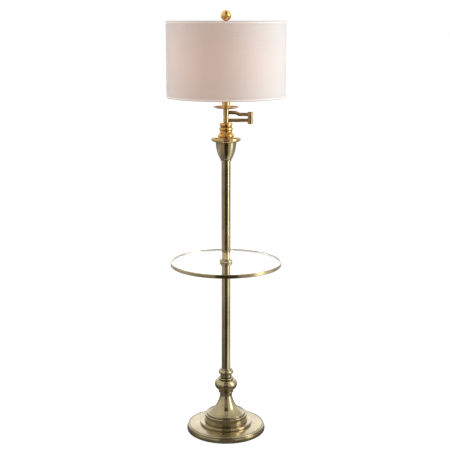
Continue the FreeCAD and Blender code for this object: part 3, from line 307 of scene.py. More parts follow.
class Finishes(bpy.types.PropertyGroup):
    """Colours of the lamp's materials"""
    antique: tone("Antique brass", "Lacquered antique brass", 0.43, 0.355, 0.18)
    patina: tone("Patina", "Antique brass where it has dulled", 0.28, 0.215, 0.095)
    # The warm tones are polished brass whose orange is partly painted warm light from the lit shade
    warm: tone("Warm brass", "Polished warm brass", 0.86, 0.50, 0.15)
    warm_dull: tone("Warm patina", "Warm brass where it has dulled", 0.72, 0.40, 0.11)
    golden: tone("Golden brass", "Brown gold of the swing arm", 0.60, 0.44, 0.20)
    golden_dull: tone("Golden patina", "The swing arm's brass where it has dulled", 0.42, 0.28, 0.11)
    plain: tone("Plated brass", "Plated brass of the harp and socket", 0.78, 0.62, 0.34)
    steel: tone("Zinc plate", "Zinc plated steel", 0.58, 0.59, 0.60)
    iron: tone("Cast iron", "Rough cast weight", 0.10, 0.10, 0.10)
    linen: tone("Linen", "Off-white linen", 0.86, 0.85, 0.84)
    slub: tone("Slub", "The linen's thicker threads", 0.815, 0.795, 0.77)
    tape: tone("Hem tape", "Folded tape on the shade's edges", 0.86, 0.86, 0.87)
    # Painted shade where the tape turns over the shade's edge
    fold: tone("Fold", "The tape where it folds over the shade's edge", 0.46, 0.41, 0.39)
    glow: tone("Glow", "Light of the bulb through the linen", 1.0, 0.36, 0.16)
    glow_strength: share("Glow strength", "How strongly the lit shade glows", 0.10)
    lacquer: share("Lacquer", "How much clear lacquer lies over the brass", 0.9)
    grain: share("Grain", "How much the turned metal stretches its reflections", 0.6)
    satin: share("Satin", "Roughness of the antique brass", 0.24)
    polish: share("Polish", "Roughness of the warm brass", 0.22)


class StageSizes(bpy.types.PropertyGroup):
    """Camera, floor and lights"""
    front_tone: tone("Front tone", "Colour of the warm light beside the camera", 1.0, 0.50, 0.25)
    key_tone: tone("Key tone", "Colour of the light from the right", 0.95, 0.985, 1.0)
    camera_place: FloatVectorProperty(name="Camera", description="Place of the camera", subtype="TRANSLATION",
                                      default=(-0.0035, -3.465, 1.490), precision=4)
    camera_tilt: FloatProperty(name="Camera tilt", description="Tilt of the camera from straight down",
                               default=math.radians(78.32), subtype="ANGLE")
    lens: FloatProperty(name="Lens", description="Focal length on a sensor 36 mm wide", default=79.28,
                        unit="CAMERA")
    floor: length("Floor", "Side of the floor", 60000)
    floor_white: share("Floor white", "Paleness of the floor", 0.50)
    floor_near: share("Near floor in metal", "Paleness of the floor by the lamp as metal reflects it", 0.20)
    floor_far: share("Far floor in metal", "The same at a distance from the lamp", 0.68)
    floor_fade: length("Floor fade", "How far from the lamp the floor turns pale in the metal", 2600)
    floor_lift: share("Floor lift", "Brightness added to the floor for the camera", 0.77)
    ambient: share("Ambient", "Strength of the soft light from all sides", 0.50)
    key: power("Key", "Power of the light from the right", 98.0)
    fill: power("Fill", "Power of the light from the left", 46.0)
    front: power("Front", "Power of the warm light beside the camera", 27.0)
    strip: power("Strip", "Power of the reflected strip light", 48.0)
    floor_strip: power("Floor strip", "Power of the strip that lies on the floor", 8.0)
    left_card: power("Left card", "Power of the reflected card on the left", 1.2)
    back_card: power("Back card", "Power of the reflected card behind the lamp", 12.0)


# Modelling

def span(node):
    """A built piece's radius and its lowest and highest level."""
    low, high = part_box(node)
    return (high.x - low.x) / 2, low.z, high.z


def between(low, high, part):
    return low + (high - low) * part


def arc_points(start, via, end):
    """Points after start on the arc that passes through via and stops at end."""
    to_via, to_end = via - start, end - start
    turn = 2 * (to_via.x * to_end.y - to_via.y * to_end.x)
    if abs(turn) < 1e-14:
        return [end]
    centre = start + Vector((to_end.y * to_via.length_squared - to_via.y * to_end.length_squared,
                             to_via.x * to_end.length_squared - to_end.x * to_via.length_squared)) / turn
    first = math.atan2(*(start - centre).yx)
    last = math.atan2(*(end - centre).yx)
    sweep = (last - first) % math.tau if turn > 0 else -((first - last) % math.tau)
    radius = (start - centre).length
    count = max(2, math.ceil(abs(sweep) / ARC_STEP))
    angles = [first + sweep * step / count for step in range(1, count)]
    return [centre + Vector((math.cos(angle), math.sin(angle))) * radius for angle in angles] + [end]


def soften_corner(corner, before, after, radius):
    """The points of a short curve that rounds one corner of an outline."""
    back, ahead = before - corner, after - corner
    if back.length < AXIS_REACH or ahead.length < AXIS_REACH:
        return [corner]
    turn = math.pi - back.angle(ahead)
    if turn < SOFT_ANGLE:
        return [corner]
    reach = min(radius, back.length * SOFT_SHARE, ahead.length * SOFT_SHARE)
    start, end = corner + back.normalized() * reach, corner + ahead.normalized() * reach
    places = [step / SOFT_STEPS for step in range(SOFT_STEPS + 1)]
    return [start.lerp(corner, place).lerp(corner.lerp(end, place), place) for place in places]


def outline_points(outline, soften):
    """An outline as plain points, and whether it closes on itself.

    An entry is (across, up) at the end of a straight line, or (across, up, across, up) for an arc:
    a place on the arc and then its end. An outline that starts and ends on the axis stays open.
    """
    points = []
    for entry in outline:
        if len(entry) == 2:
            points.append(Vector(entry))
        else:
            points += arc_points(points[-1], Vector(entry[:2]), Vector(entry[2:]))
    closed = points[0].x > AXIS_REACH or points[-1].x > AXIS_REACH
    if not soften:
        return points, closed
    rounded = []
    for index, corner in enumerate(points):
        if closed or 0 < index < len(points) - 1:
            rounded += soften_corner(corner, points[index - 1], points[(index + 1) % len(points)], soften)
        else:
            rounded.append(corner)
    return rounded, closed


def begin():
    bpy.ops.object.select_all(action="DESELECT")


def named(piece, name):
    piece.name = piece.data.name = name
    return piece


def finished(piece, name):
    """Name the piece, put its place in its mesh and shade its curves smooth and its flats flat."""
    named(piece, name)
    bpy.ops.object.transform_apply(location=True, rotation=True, scale=True)
    bpy.ops.object.shade_smooth_by_angle(angle=SMOOTH_ANGLE)
    flats = piece.modifiers.new("Flats", "WEIGHTED_NORMAL")
    flats.keep_sharp = True
    bpy.ops.object.modifier_apply(modifier=flats.name)
    return piece


def close_mesh():
    """In edit mode: merge what meets, and turn every face outwards."""
    bpy.ops.mesh.select_all(action="SELECT")
    bpy.ops.mesh.remove_doubles(threshold=MERGE_REACH)
    bpy.ops.mesh.normals_make_consistent(inside=False)


def turned(name, outline, centre=(0, 0), steps=ROUND_STEPS, soften=SOFT_EDGE, place=None, turn=None):
    """A turned piece: a point is drawn along half of the section, and that line is spun round an
    upright axis. A place and turn then lay the piece down somewhere else."""
    points, closed = outline_points(outline, soften)
    if closed:
        points.append(points[0])
    begin()
    bpy.ops.mesh.primitive_plane_add(size=MM, location=(centre[0] + points[0].x, centre[1], points[0].y))
    piece = bpy.context.object
    bpy.ops.object.mode_set(mode="EDIT")
    bpy.ops.mesh.merge(type="CENTER")
    for here, there in zip(points, points[1:]):
        step = (there.x - here.x, 0, there.y - here.y)
        bpy.ops.mesh.extrude_vertices_move(TRANSFORM_OT_translate={"value": step})
    bpy.ops.mesh.select_all(action="SELECT")
    bpy.ops.mesh.spin(steps=steps, angle=math.tau, center=(*centre, 0), axis=(0, 0, 1), use_auto_merge=True)
    close_mesh()
    bpy.ops.object.mode_set(mode="OBJECT")
    finished(piece, name)
    if turn:
        piece.rotation_euler = turn
        piece.location = place
        bpy.ops.object.transform_apply(location=True, rotation=True, scale=True)
    return piece


def ring(name, inner, outer, low, high, **how):
    return turned(name, [(inner, low), (outer, low), (outer, high), (inner, high)], **how)


def bent_rod(name, points, radius, closed=False):
    """A round rod along a smooth line of points."""
    begin()
    bpy.ops.curve.primitive_bezier_curve_add()
    rod = bpy.context.object
    rod.data.splines.clear()
    spline = rod.data.splines.new("POLY")
    spline.points.add(len(points) - 1)
    for target, point in zip(spline.points, points):
        target.co = (*point, 1)
    spline.use_cyclic_u = closed
    rod.data.dimensions = "3D"
    rod.data.bevel_depth = radius
    rod.data.bevel_resolution = WIRE_FACETS
    rod.data.use_fill_caps = not closed
    bpy.ops.object.convert(target="MESH")
    bpy.ops.object.mode_set(mode="EDIT")
    close_mesh()
    bpy.ops.object.mode_set(mode="OBJECT")
    return finished(rod, name)


def straight_rod(name, radius, start, end, steps=SMALL_STEPS):
    """A round rod between two points, with soft ends."""
    line = Vector(end) - Vector(start)
    turn = line.to_track_quat("Z", "Y").to_euler()
    return turned(name, [(0, 0), (radius, 0), (radius, line.length), (0, line.length)], steps=steps,
                  place=start, turn=turn)


def joined(name, pieces):
    """Several meshes as one piece."""
    begin()
    for piece in pieces:
        piece.select_set(True)
    bpy.context.view_layer.objects.active = pieces[0]
    bpy.ops.object.join()
    return named(pieces[0], name)


def thicken(piece, thickness, offset):
    wall = piece.modifiers.new("Cloth", "SOLIDIFY")
    wall.thickness, wall.offset = thickness, offset
    bpy.ops.object.modifier_apply(modifier=wall.name)
    return piece


def dress(piece, node, finish):
    """Give the piece one finish, by default that of the built node's slot, and hang it on the node's body."""
    piece.data.materials.clear()
    piece.data.materials.append(FINISHES[finish or SLOT_OF[node]]())
    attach(piece, BODY_OF[node])
    return piece


def hand_over(piece, node, finish=None):
    """Let the piece stand for its built node, move with it and wear its finish."""
    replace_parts(dress(piece, node, finish), node)
    return piece


def spin(name, node, outline, finish=None, **how):
    """A turned piece that stands for a built node."""
    return hand_over(turned(name, outline, **how), node, finish)


# Materials

class Value:
    """A socket that takes part in arithmetic: each operation adds a Math node."""

    def __init__(self, finish, socket):
        self.finish = finish
        self.socket = socket

    def math(self, operation, *numbers):
        return self.finish.add("Math", dict(enumerate(numbers)), operation=operation)

    def __add__(self, other):
        return self.math("ADD", self, other)

    def __sub__(self, other):
        return self.math("SUBTRACT", self, other)

    def __rsub__(self, other):
        return self.math("SUBTRACT", other, self)

    def __mul__(self, other):
        return self.math("MULTIPLY", self, other)

    def __truediv__(self, other):
        return self.math("DIVIDE", self, other)

    def __rtruediv__(self, other):
        return self.math("DIVIDE", other, self)

    def __pow__(self, other):
        return self.math("POWER", self, other)

    __radd__ = __add__


class Finish:
    """The shader nodes of one material or world."""

    def __init__(self, owner):
        owner.use_nodes = True
        self.owner, self.tree = owner, owner.node_tree
        self.tree.nodes.clear()

    def make(self, kind, sockets=None, **settings):
        """Add a node: its settings come first, and then the values or links of its sockets."""
        node = self.tree.nodes.new("ShaderNode" + kind)
        for name, value in settings.items():
            setattr(node, name, value)
        for key, value in (sockets or {}).items():
            if isinstance(value, Value):
                self.tree.links.new(value.socket, node.inputs[key])
            else:
                colour = node.inputs[key].type == "RGBA"
                node.inputs[key].default_value = (*value[:3], 1) if colour else value
        return node

    def add(self, kind, sockets=None, output=0, **settings):
        return Value(self, self.make(kind, sockets, **settings).outputs[output])

    def place(self):
        return self.add("TexCoord", output="Object")

    def split(self, vector):
        node = self.make("SeparateXYZ", {0: vector})
        return [Value(self, node.outputs[axis]) for axis in "XYZ"]

    def join(self, x, y, z):
        return self.add("CombineXYZ", {0: x, 1: y, 2: z})

    def rays(self, *kinds):
        """For each kind of ray, 1 where the surface is met by one."""
        node = self.make("LightPath")
        return [Value(self, node.outputs[f"Is {kind} Ray"]) for kind in kinds]

    def noise(self, vector, scale, detail=2.0, **more):
        return self.add("TexNoise", {"Vector": vector, "Scale": scale, "Detail": detail, **more},
                        noise_dimensions="4D" if "W" in more else "3D")

    def spread(self, value, low, high, to_low=0.0, to_high=1.0):
        """The value carried from one range to another, and held inside it."""
        return self.add("MapRange", {0: value, 1: low, 2: high, 3: to_low, 4: to_high})

    def blend(self, part, low, high, **settings):
        """A colour between two others."""
        return self.add("Mix", {0: part, 6: low, 7: high}, output=2, data_type="RGBA", **settings)

    def bump(self, height, strength, distance):
        return self.add("Bump", {"Height": height, "Strength": strength, "Distance": distance})

    def surface(self, **sockets):
        """The shader itself. A socket's name is written with underscores."""
        return self.add("BsdfPrincipled", {name.replace("_", " "): value for name, value in sockets.items()})

    def mix(self, part, first, second):
        return self.add("MixShader", {0: part, 1: first, 2: second})

    def close(self, shader, kind="Material"):
        self.make("Output" + kind, {"Surface": shader})
        return self.owner


FINISHES = {}


def once(recipe):
    """Make a material the first time that it is asked for, and give the same one after that."""
    name = "lamp_" + recipe.__name__

    def ask():
        made = bpy.data.materials.get(name)
        return made or recipe(Finish(bpy.data.materials.new(name)), bpy.context.scene.lamp_finishes)
    FINISHES[recipe.__name__] = ask
    return ask


def from_axis(x, y):
    return (x * x + y * y) ** 0.5


def tool_lines(finish, pitch, centre=None):
    """Fine lines that a turning tool leaves round an upright axis."""
    place = finish.place()
    if centre:
        place = finish.add("VectorMath", {0: place, 1: centre}, operation="SUBTRACT")
    x, y, z = finish.split(place)
    radius = (x * x + y * y + AXIS_REACH) ** 0.5
    around = finish.join(x / radius, y / radius, z * pitch)
    return finish.noise(around, 1.0, W=radius * pitch)


def drawn_lines(finish, *stretch):
    """Fine lines along a drawn tube or rod."""
    return finish.noise(finish.add("VectorMath", {0: finish.place(), 1: stretch}, operation="MULTIPLY"), 1.0)


def darken_recesses(finish, colour, place):
    """The colour darkened in the recesses: painted shade, along with some patina."""
    x, y, z = finish.split(place)
    across, clear = from_axis(x, y), None
    for radius, level, reach in RECESSES:
        near = from_axis(across - radius, z - level) / reach
        clear = near if clear is None else near.math("MINIMUM", clear, near)
    tint = finish.blend(finish.spread(clear, *RECESS_SHADE_FADE), RECESS_SHADE_TONE, (1.0, 1.0, 1.0))
    return finish.blend(1.0, colour, tint, blend_type="MULTIPLY")


def metal(finish, bright, dull, roughness, lines, depth=RELIEF, cloud_scale=26.0, lacquer=0.0, grain=0.0,
          recesses=False):
    """Metal with cloudy patches of patina, fine lines in its gloss and relief, and clear lacquer.

    The grain stretches what it reflects across the lines."""
    place = finish.place()
    cloud = finish.noise(place, cloud_scale, 4.0)
    speck = finish.noise(place, cloud_scale * 30)
    worn = finish.spread(cloud * 0.85 + speck * 0.15, 0.34, 0.66)
    colour = finish.blend(worn, dull, bright)
    # Painted shade, along with some patina, darkens the corners listed in RECESSES
    if recesses:
        colour = darken_recesses(finish, colour, place)
    return finish.close(finish.surface(
        Base_Color=colour, Metallic=1.0, Roughness=roughness + (lines - 0.5) * 0.10 + (cloud - 0.5) * 0.10,
        Normal=finish.bump(lines, 0.35, depth), Coat_Weight=lacquer, Coat_Roughness=LACQUER_ROUGHNESS,
        Coat_IOR=LACQUER_INDEX, Anisotropic=grain, Anisotropic_Rotation=ACROSS_THE_LINES))


ELBOW_CENTRE = tuple((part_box("elbow_pin")[0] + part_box("elbow_pin")[1]) / 2)


@once
def antique_brass(finish, tones):
    """Antique brass turned on the lamp's own axis."""
    return metal(finish, tones.antique, tones.patina, tones.satin, tool_lines(finish, 900.0),
                 lacquer=tones.lacquer, grain=tones.grain, recesses=True)


@once
def golden_brass(finish, tones):
    """Warmer brass of the swing arm's hub and post, turned on the lamp's own axis."""
    return metal(finish, tones.golden, tones.golden_dull, tones.satin, tool_lines(finish, 1500.0),
                 lacquer=tones.lacquer, grain=tones.grain)


@once
def golden_brass_elbow(finish, tones):
    """The same brass, turned on the elbow's axis."""
    return metal(finish, tones.golden, tones.golden_dull, tones.satin,
                 tool_lines(finish, 1500.0, ELBOW_CENTRE), lacquer=tones.lacquer, grain=tones.grain)


@once
def antique_brass_tube(finish, tones):
    """Antique brass of the drawn column tubes, which is glossier."""
    return metal(finish, tones.antique, tones.patina, tones.satin * 0.65,
                 drawn_lines(finish, 1100.0, 1100.0, 5.0), FINE_RELIEF, 16.0, tones.lacquer)


@once
def golden_brass_rod(finish, tones):
    """The swing arm's brass, drawn along the arms."""
    return metal(finish, tones.golden, tones.golden_dull, tones.satin,
                 drawn_lines(finish, 9.0, 1300.0, 1300.0), FINE_RELIEF, lacquer=tones.lacquer)


@once
def polished_brass(finish, tones):
    """Warm brass of the cap and finial, its orange partly painted warm light from the lit shade, with a
    painted pale reflection on the cap's wide rim.
    """
    x, y, _ = finish.split(finish.place())
    # Painted pale reflection on the cap's wide rim
    rim = finish.spread(from_axis(x, y), *PAINTED_REFLECTION_RIM, to_high=PAINTED_REFLECTION_SHARE)
    bright = finish.blend(rim, tones.warm, tones.antique)
    dull = finish.blend(rim, tones.warm_dull, tones.patina)
    return metal(finish, bright, dull, tones.polish, tool_lines(finish, 1100.0), FINE_RELIEF, 40.0,
                 tones.lacquer * 0.5, tones.grain, recesses=True)


@once
def harp_brass(finish, tones):
    """Thin bright plating on drawn wire and pressed shells."""
    return metal(finish, tones.plain, tones.warm_dull, 0.27, drawn_lines(finish, 700.0, 700.0, 60.0),
                 cloud_scale=60.0)


@once
def plated_steel(finish, tones):
    """Zinc plate, dull in its scratches."""
    return metal(finish, tones.steel, [part * 0.7 for part in tones.steel], 0.34, tool_lines(finish, 700.0))


@once
def bulb_metal(finish, tones):
    """Bare aluminium of the bulb's base."""
    return metal(finish, (0.80, 0.80, 0.79), (0.62, 0.62, 0.60), 0.26, tool_lines(finish, 1200.0))


@once
def cast_weight(finish, tones):
    """Rough sand casting under a thin black paint."""
    place = finish.place()
    grit = finish.noise(place, 900.0, 4.0)
    cloud = finish.noise(place, 40.0, 3.0)
    colour = finish.blend(finish.spread(cloud, 0.3, 0.7), tones.iron, (0.17, 0.16, 0.15))
    return finish.close(finish.surface(Base_Color=colour, Roughness=0.7 + grit * 0.2,
                                       Normal=finish.bump(grit, 0.8, 0.4 * MM)))


@once
def felt(finish, tones):
    """Pressed black wool: matted fibres that catch the light at a low angle."""
    place = finish.place()
    fibre = finish.noise(place, 1600.0, 3.0)
    mat = finish.noise(place, 220.0, 4.0)
    colour = finish.blend(fibre, (0.025, 0.024, 0.023), (0.085, 0.082, 0.078))
    return finish.close(finish.surface(Base_Color=colour, Roughness=0.95, Sheen_Weight=0.5,
                                       Normal=finish.bump(fibre + mat, 0.9, 0.3 * MM)))


def moulded(finish, dark, light, roughness, **more):
    """Moulded rubber or plastic with a fine orange-peel skin."""
    place = finish.place()
    skin = finish.noise(place, 1400.0)
    cloud = finish.noise(place, 55.0, 3.0)
    return finish.close(finish.surface(
        Base_Color=finish.blend(cloud, dark, light), Roughness=roughness + (skin - 0.5) * 0.1,
        Normal=finish.bump(skin, 0.3, 0.06 * MM), **more))


@once
def black_rubber(finish, tones):
    return moulded(finish, (0.018, 0.018, 0.018), (0.035, 0.034, 0.033), 0.62)


@once
def black_plastic(finish, tones):
    return moulded(finish, (0.012, 0.012, 0.013), (0.026, 0.026, 0.027), 0.38)


@once
def clear_rubber(finish, tones):
    return moulded(finish, (0.74, 0.75, 0.72), (0.82, 0.83, 0.80), 0.35, Transmission_Weight=0.5)


@once
def white_wire(finish, tones):
    return moulded(finish, (0.78, 0.78, 0.76), (0.85, 0.85, 0.83), 0.34, Coat_Weight=0.3)


@once
def clear_glass(finish, tones):
    """Clear polished glass, which lets its shadow rays through as thin glass does."""
    smear = finish.noise(finish.place(), 7.0, 3.0)
    tint = finish.blend(smear, (0.965, 0.985, 0.98), (0.985, 0.993, 0.99))
    glass = finish.surface(Base_Color=tint, Transmission_Weight=1.0, IOR=1.5, Roughness=0.0)
    through = finish.add("BsdfTransparent", {"Color": (0.93, 0.96, 0.955)})
    shadow, = finish.rays("Shadow")
    return finish.close(finish.mix(shadow, glass, through))


@once
def frosted_glass(finish, tones):
    """The lit bulb: white coating inside the glass, with a faint warm glow."""
    coat = finish.noise(finish.place(), 300.0)
    colour = finish.blend(coat, (0.93, 0.91, 0.87), (0.97, 0.96, 0.93))
    return finish.close(finish.surface(Base_Color=colour, Roughness=0.25 + coat * 0.1,
                                       Emission_Color=(1.0, 0.62, 0.30), Emission_Strength=5.0))


@once
def white_styrene(finish, tones):
    """The shade's smooth liner, which passes some light."""
    cloud = finish.noise(finish.place(), 30.0, 3.0)
    colour = finish.blend(cloud, (0.84, 0.83, 0.80), (0.88, 0.87, 0.85))
    sheet = finish.surface(Base_Color=colour, Roughness=0.42 + cloud * 0.1,
                           Normal=finish.bump(cloud, 0.2, 0.2 * MM))
    return finish.close(finish.mix(0.3, sheet, finish.add("BsdfTranslucent", {"Color": colour})))


def woven(finish, pitch, slub_length):
    """Height and slubs of a plain weave on the piece's own map, whose unit is the metre."""
    across, up, _ = finish.split(finish.add("UVMap", uv_map="weave"))
    warp, weft = [(way * (math.tau / pitch)).math("SINE", way * (math.tau / pitch)) for way in (across, up)]
    warp_slub = finish.noise(finish.join(across / pitch, up / slub_length, 0.0), 0.55, 3.0)
    weft_slub = finish.noise(finish.join(across / slub_length, up / pitch, 7.0), 0.55, 3.0)
    slub = finish.spread(warp_slub * 0.5 + weft_slub * 0.5, 0.38, 0.66)
    return warp * weft * 0.35 + slub, slub


@once
def linen(finish, tones):
    """Off-white linen, lit from inside by the bulb."""
    height, slub = woven(finish, LINEN_PITCH, LINEN_SLUB)
    place = finish.place()
    colour = finish.blend(slub * 0.75 + finish.noise(place, 11.0, 3.0) * 0.25, tones.linen, tones.slub)
    away = (finish.split(place)[2] - sum(span("shade_fabric")[1:]) / 2) / GLOW_REACH
    glow = finish.blend(1.0 / (1.0 + away * away), (0.0, 0.0, 0.0), tones.glow)
    cloth = finish.surface(
        Base_Color=colour, Roughness=0.88, Sheen_Weight=0.5, Sheen_Roughness=0.45, Emission_Color=glow,
        Emission_Strength=tones.glow_strength, Normal=finish.bump(height, 0.35, 0.18 * MM))
    return finish.close(finish.mix(0.22, cloth, finish.add("BsdfTranslucent", {"Color": colour})))


@once
def linen_tape(finish, tones):
    """The folded tape on both edges of the shade: a closer weave, a faint painted glow of its own, and
    painted shade towards the fold.
    """
    height, slub = woven(finish, TAPE_PITCH, TAPE_SLUB)
    _, low, top = span("shade_fabric")
    level = finish.split(finish.place())[2]
    ends = [offset.math("ABSOLUTE", offset) for offset in (level - low, top - level)]
    # Painted shade darkens the tape towards each edge
    fold = finish.spread(ends[0].math("MINIMUM", *ends), *FOLD_SHADE_FADE)
    return finish.close(finish.surface(
        Base_Color=finish.blend(fold, tones.fold, finish.blend(slub, tones.tape, tones.slub)),
        # A faint painted glow in place of light through the tape
        Roughness=0.9, Sheen_Weight=0.5, Sheen_Roughness=0.45, Emission_Color=(1.0, 0.85, 0.75),
        Emission_Strength=0.12, Normal=finish.bump(height, 0.5, 0.18 * MM)))


# Pieces

class LAMP_OT_foot(bpy.types.Operator):
    """Spin the foot disc with its rim, groove and step, and fit its felt and gland"""
    bl_idname = "floor_lamp.foot"
    bl_label = "Foot"
    bl_options = {"REGISTER", "UNDO"}

    def execute(self, context):
        size = context.scene.lamp_foot
        radius, low, top = span("base_disc")
        roll, edge, wall = size.lip_round, size.edge, size.wall
        lip, bend = radius - roll, roll * ARC_SHARE
        crease, quirk, ridge = radius - size.crease_inset, size.quirk, size.ridge
        crown, step, soft = size.edge + size.crown, size.step_radius, size.step_round
        groove, half, deep = radius - size.groove_inset, size.groove_width / 2, size.groove_depth
        near = between(groove, step, 0.5)
        spin("foot_disc", "base_disc", [
            (lip, low), (radius - bend, low + bend, radius, low + roll),
            (radius, size.bulge, crease, size.crease - quirk / 2),
            (crease - quirk, size.crease),
            (crease - ridge * RIDGE_CREST[0], size.crease + ridge * RIDGE_CREST[1],
             crease - ridge, size.crease + ridge),
            (groove + half, edge), (groove, edge - deep, groove - half, edge),
            (near, between(edge, crown, 0.5) + size.dome, step, crown),
            (step, top - soft), (step - soft * ARC_SHARE, top - soft * ARC_SHARE, step - soft, top),
            (size.bore, top), (size.bore, top - wall),
            (step - soft - wall, top - wall), (step - wall, top - soft - wall), (step - wall, crown - wall),
            (groove - half - wall, edge - wall), (groove + half - wall, edge - deep - wall),
            (crease - wall * 1.5, size.crease - wall),
            (radius - wall, size.bulge, radius - wall, low + roll),
            (radius - wall - bend, low + bend, lip - wall, low)], steps=FINE_STEPS)

        felt_radius, felt_low, felt_top = span("felt_pad")
        pad = ring("foot_felt", size.recess, felt_radius, felt_low, felt_top, soften=size.felt_soft)
        hand_over(pad, "felt_pad")

        low_corner, high_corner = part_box("cord_gland")
        outer, brim = (high_corner.x - low_corner.x) / 2, size.gland_flange
        reach, wall_side = high_corner.y - low_corner.y, radius - low_corner.y
        spin("cord_gland_bush", "cord_gland", [
            (size.gland_bore, 0), (outer, 0), (outer, wall_side), (outer + brim, wall_side),
            (outer + brim, reach - brim / 2), (outer, reach), (size.gland_bore, reach)], steps=SMALL_STEPS,
            place=(0, low_corner.y, (low_corner.z + high_corner.z) / 2), turn=(-math.pi / 2, 0, 0))
        return {"FINISHED"}


def ring_bead(radius, level, height, rounding):
    """Part of a section: a raised ring with soft corners, from its foot to its top."""
    corner = rounding * ARC_SHARE
    return [
        (radius - rounding, level),
        (radius - corner, level + corner, radius, level + rounding),
        (radius, level + height - rounding),
        (radius - corner, level + height - corner, radius - rounding, level + height)]


class LAMP_OT_spindle(bpy.types.Operator):
    """Spin the drum, the flared sweep, the ball and the collar that stand on the foot"""
    bl_idname = "floor_lamp.spindle"
    bl_label = "Spindle"
    bl_options = {"REGISTER", "UNDO"}

    def execute(self, context):
        size, foot = context.scene.lamp_spindle, context.scene.lamp_foot
        bore, wall = foot.bore, foot.wall
        self.drum(size, bore, wall)
        self.flare(size, bore, wall)
        self.ball(size, bore)
        self.collar(size, bore)
        return {"FINISHED"}

    def drum(self, size, bore, wall):
        low, top = span("base_drum")[1:]
        radius, foot = span("base_drum")[0] - size.bead, low + size.bead_rise
        inset, soft = size.drum_round, size.drum_round * ARC_SHARE
        spin("drum", "base_drum", [
            (radius, low), (radius, foot),
            (radius + size.bead, foot + size.bead_width / 2, radius, foot + size.bead_width),
            (radius, top - inset), (radius - soft, top - soft, radius - inset, top), (bore, top),
            (bore, top - wall), (radius - inset - wall, top - wall),
            (radius - wall, top - inset - wall), (radius - wall, low)], steps=DRUM_STEPS)

    def flare(self, size, bore, wall):
        low, top = span("base_flare")[1:]
        edge, step, rise, neck = size.flare_radius, size.step, size.step_rise, size.neck
        lip, thick = low + size.lip, wall * 2
        sweep, foot = edge - step * 2, lip + rise

        outside = [(between(sweep, neck, across), between(foot, top, up)) for across, up in FLARE_CURVE]
        inside = [(across - thick, up) for across, up in reversed(outside)]
        spin("flare", "base_flare", [
            (edge - size.lip / 4, low), (edge, low + size.lip / 2, edge - size.lip / 4, lip),
            (edge - step, lip), (edge - step * 0.7, lip + rise / 2, edge - step, foot), (sweep, foot),
            (*outside[0], *outside[1]), (*outside[2], *outside[3]), (*outside[4], neck, top),
            (bore, top), (bore, top - thick), (neck - thick, top - thick), (*inside[0], *inside[1]),
            (*inside[2], *inside[3]), (*inside[4], sweep - thick, foot), (sweep - thick, low)],
            steps=DRUM_STEPS)

    def ball(self, size, bore):
        low, top = span("spindle_ball")[1:]
        low_ring, low_top = low + size.foot_neck, low + size.foot_neck + size.ring_height
        high_ring = top - size.top_neck - size.ring_height
        half = (high_ring - low_top - size.gap_below - size.gap_above) / 2
        middle, shoulder = low_top + size.gap_below + half, size.ball_radius - size.ball_bulge
        notch, slim = between(size.ring_radius, shoulder, 0.1), size.neck - size.top_inset
        spin("spindle_turning", "spindle_ball", [
            (bore, low), (size.neck, low), (size.neck, low_ring),
            *ring_bead(size.ring_radius, low_ring, size.ring_height, size.ring_round),
            (notch, middle - half - size.ring_round), (shoulder, middle - half),
            (size.ball_radius, middle, shoulder, middle + half),
            (notch, middle + half + size.ring_round / 2),
            *ring_bead(size.ring_radius, high_ring, size.ring_height, size.ring_round),
            (slim, high_ring + size.ring_height + size.ring_round), (slim, top), (bore, top)])

    def collar(self, size, bore):
        low, top = span("lower_collar")[1:]
        tube = span("lower_tube")[0]
        foot, bead_top, slim = low + size.collar_foot, top - size.collar_lip, size.neck - size.top_inset
        seat = span("lower_tube")[1]
        spin("tube_collar", "lower_collar", [
            (bore, low), (slim, low), (slim, foot), (size.neck, foot),
            (size.collar_radius, (foot + bead_top) / 2, between(size.neck, size.collar_rim, 0.5), bead_top),
            (size.collar_rim, bead_top + size.collar_lip * 0.8), (size.collar_rim, top), (tube, top),
            (tube, seat), (bore, seat)])


class LAMP_OT_column(bpy.types.Operator):
    """Draw the two column tubes"""
    bl_idname = "floor_lamp.column"
    bl_label = "Column"
    bl_options = {"REGISTER", "UNDO"}

    def execute(self, context):
        wall = context.scene.lamp_head.cup_wall
        for name, node in (("column_lower", "lower_tube"), ("column_upper", "upper_tube")):
            radius, low, top = span(node)
            hand_over(ring(name, radius - wall, radius, low, top), node, "antique_brass_tube")
        return {"FINISHED"}


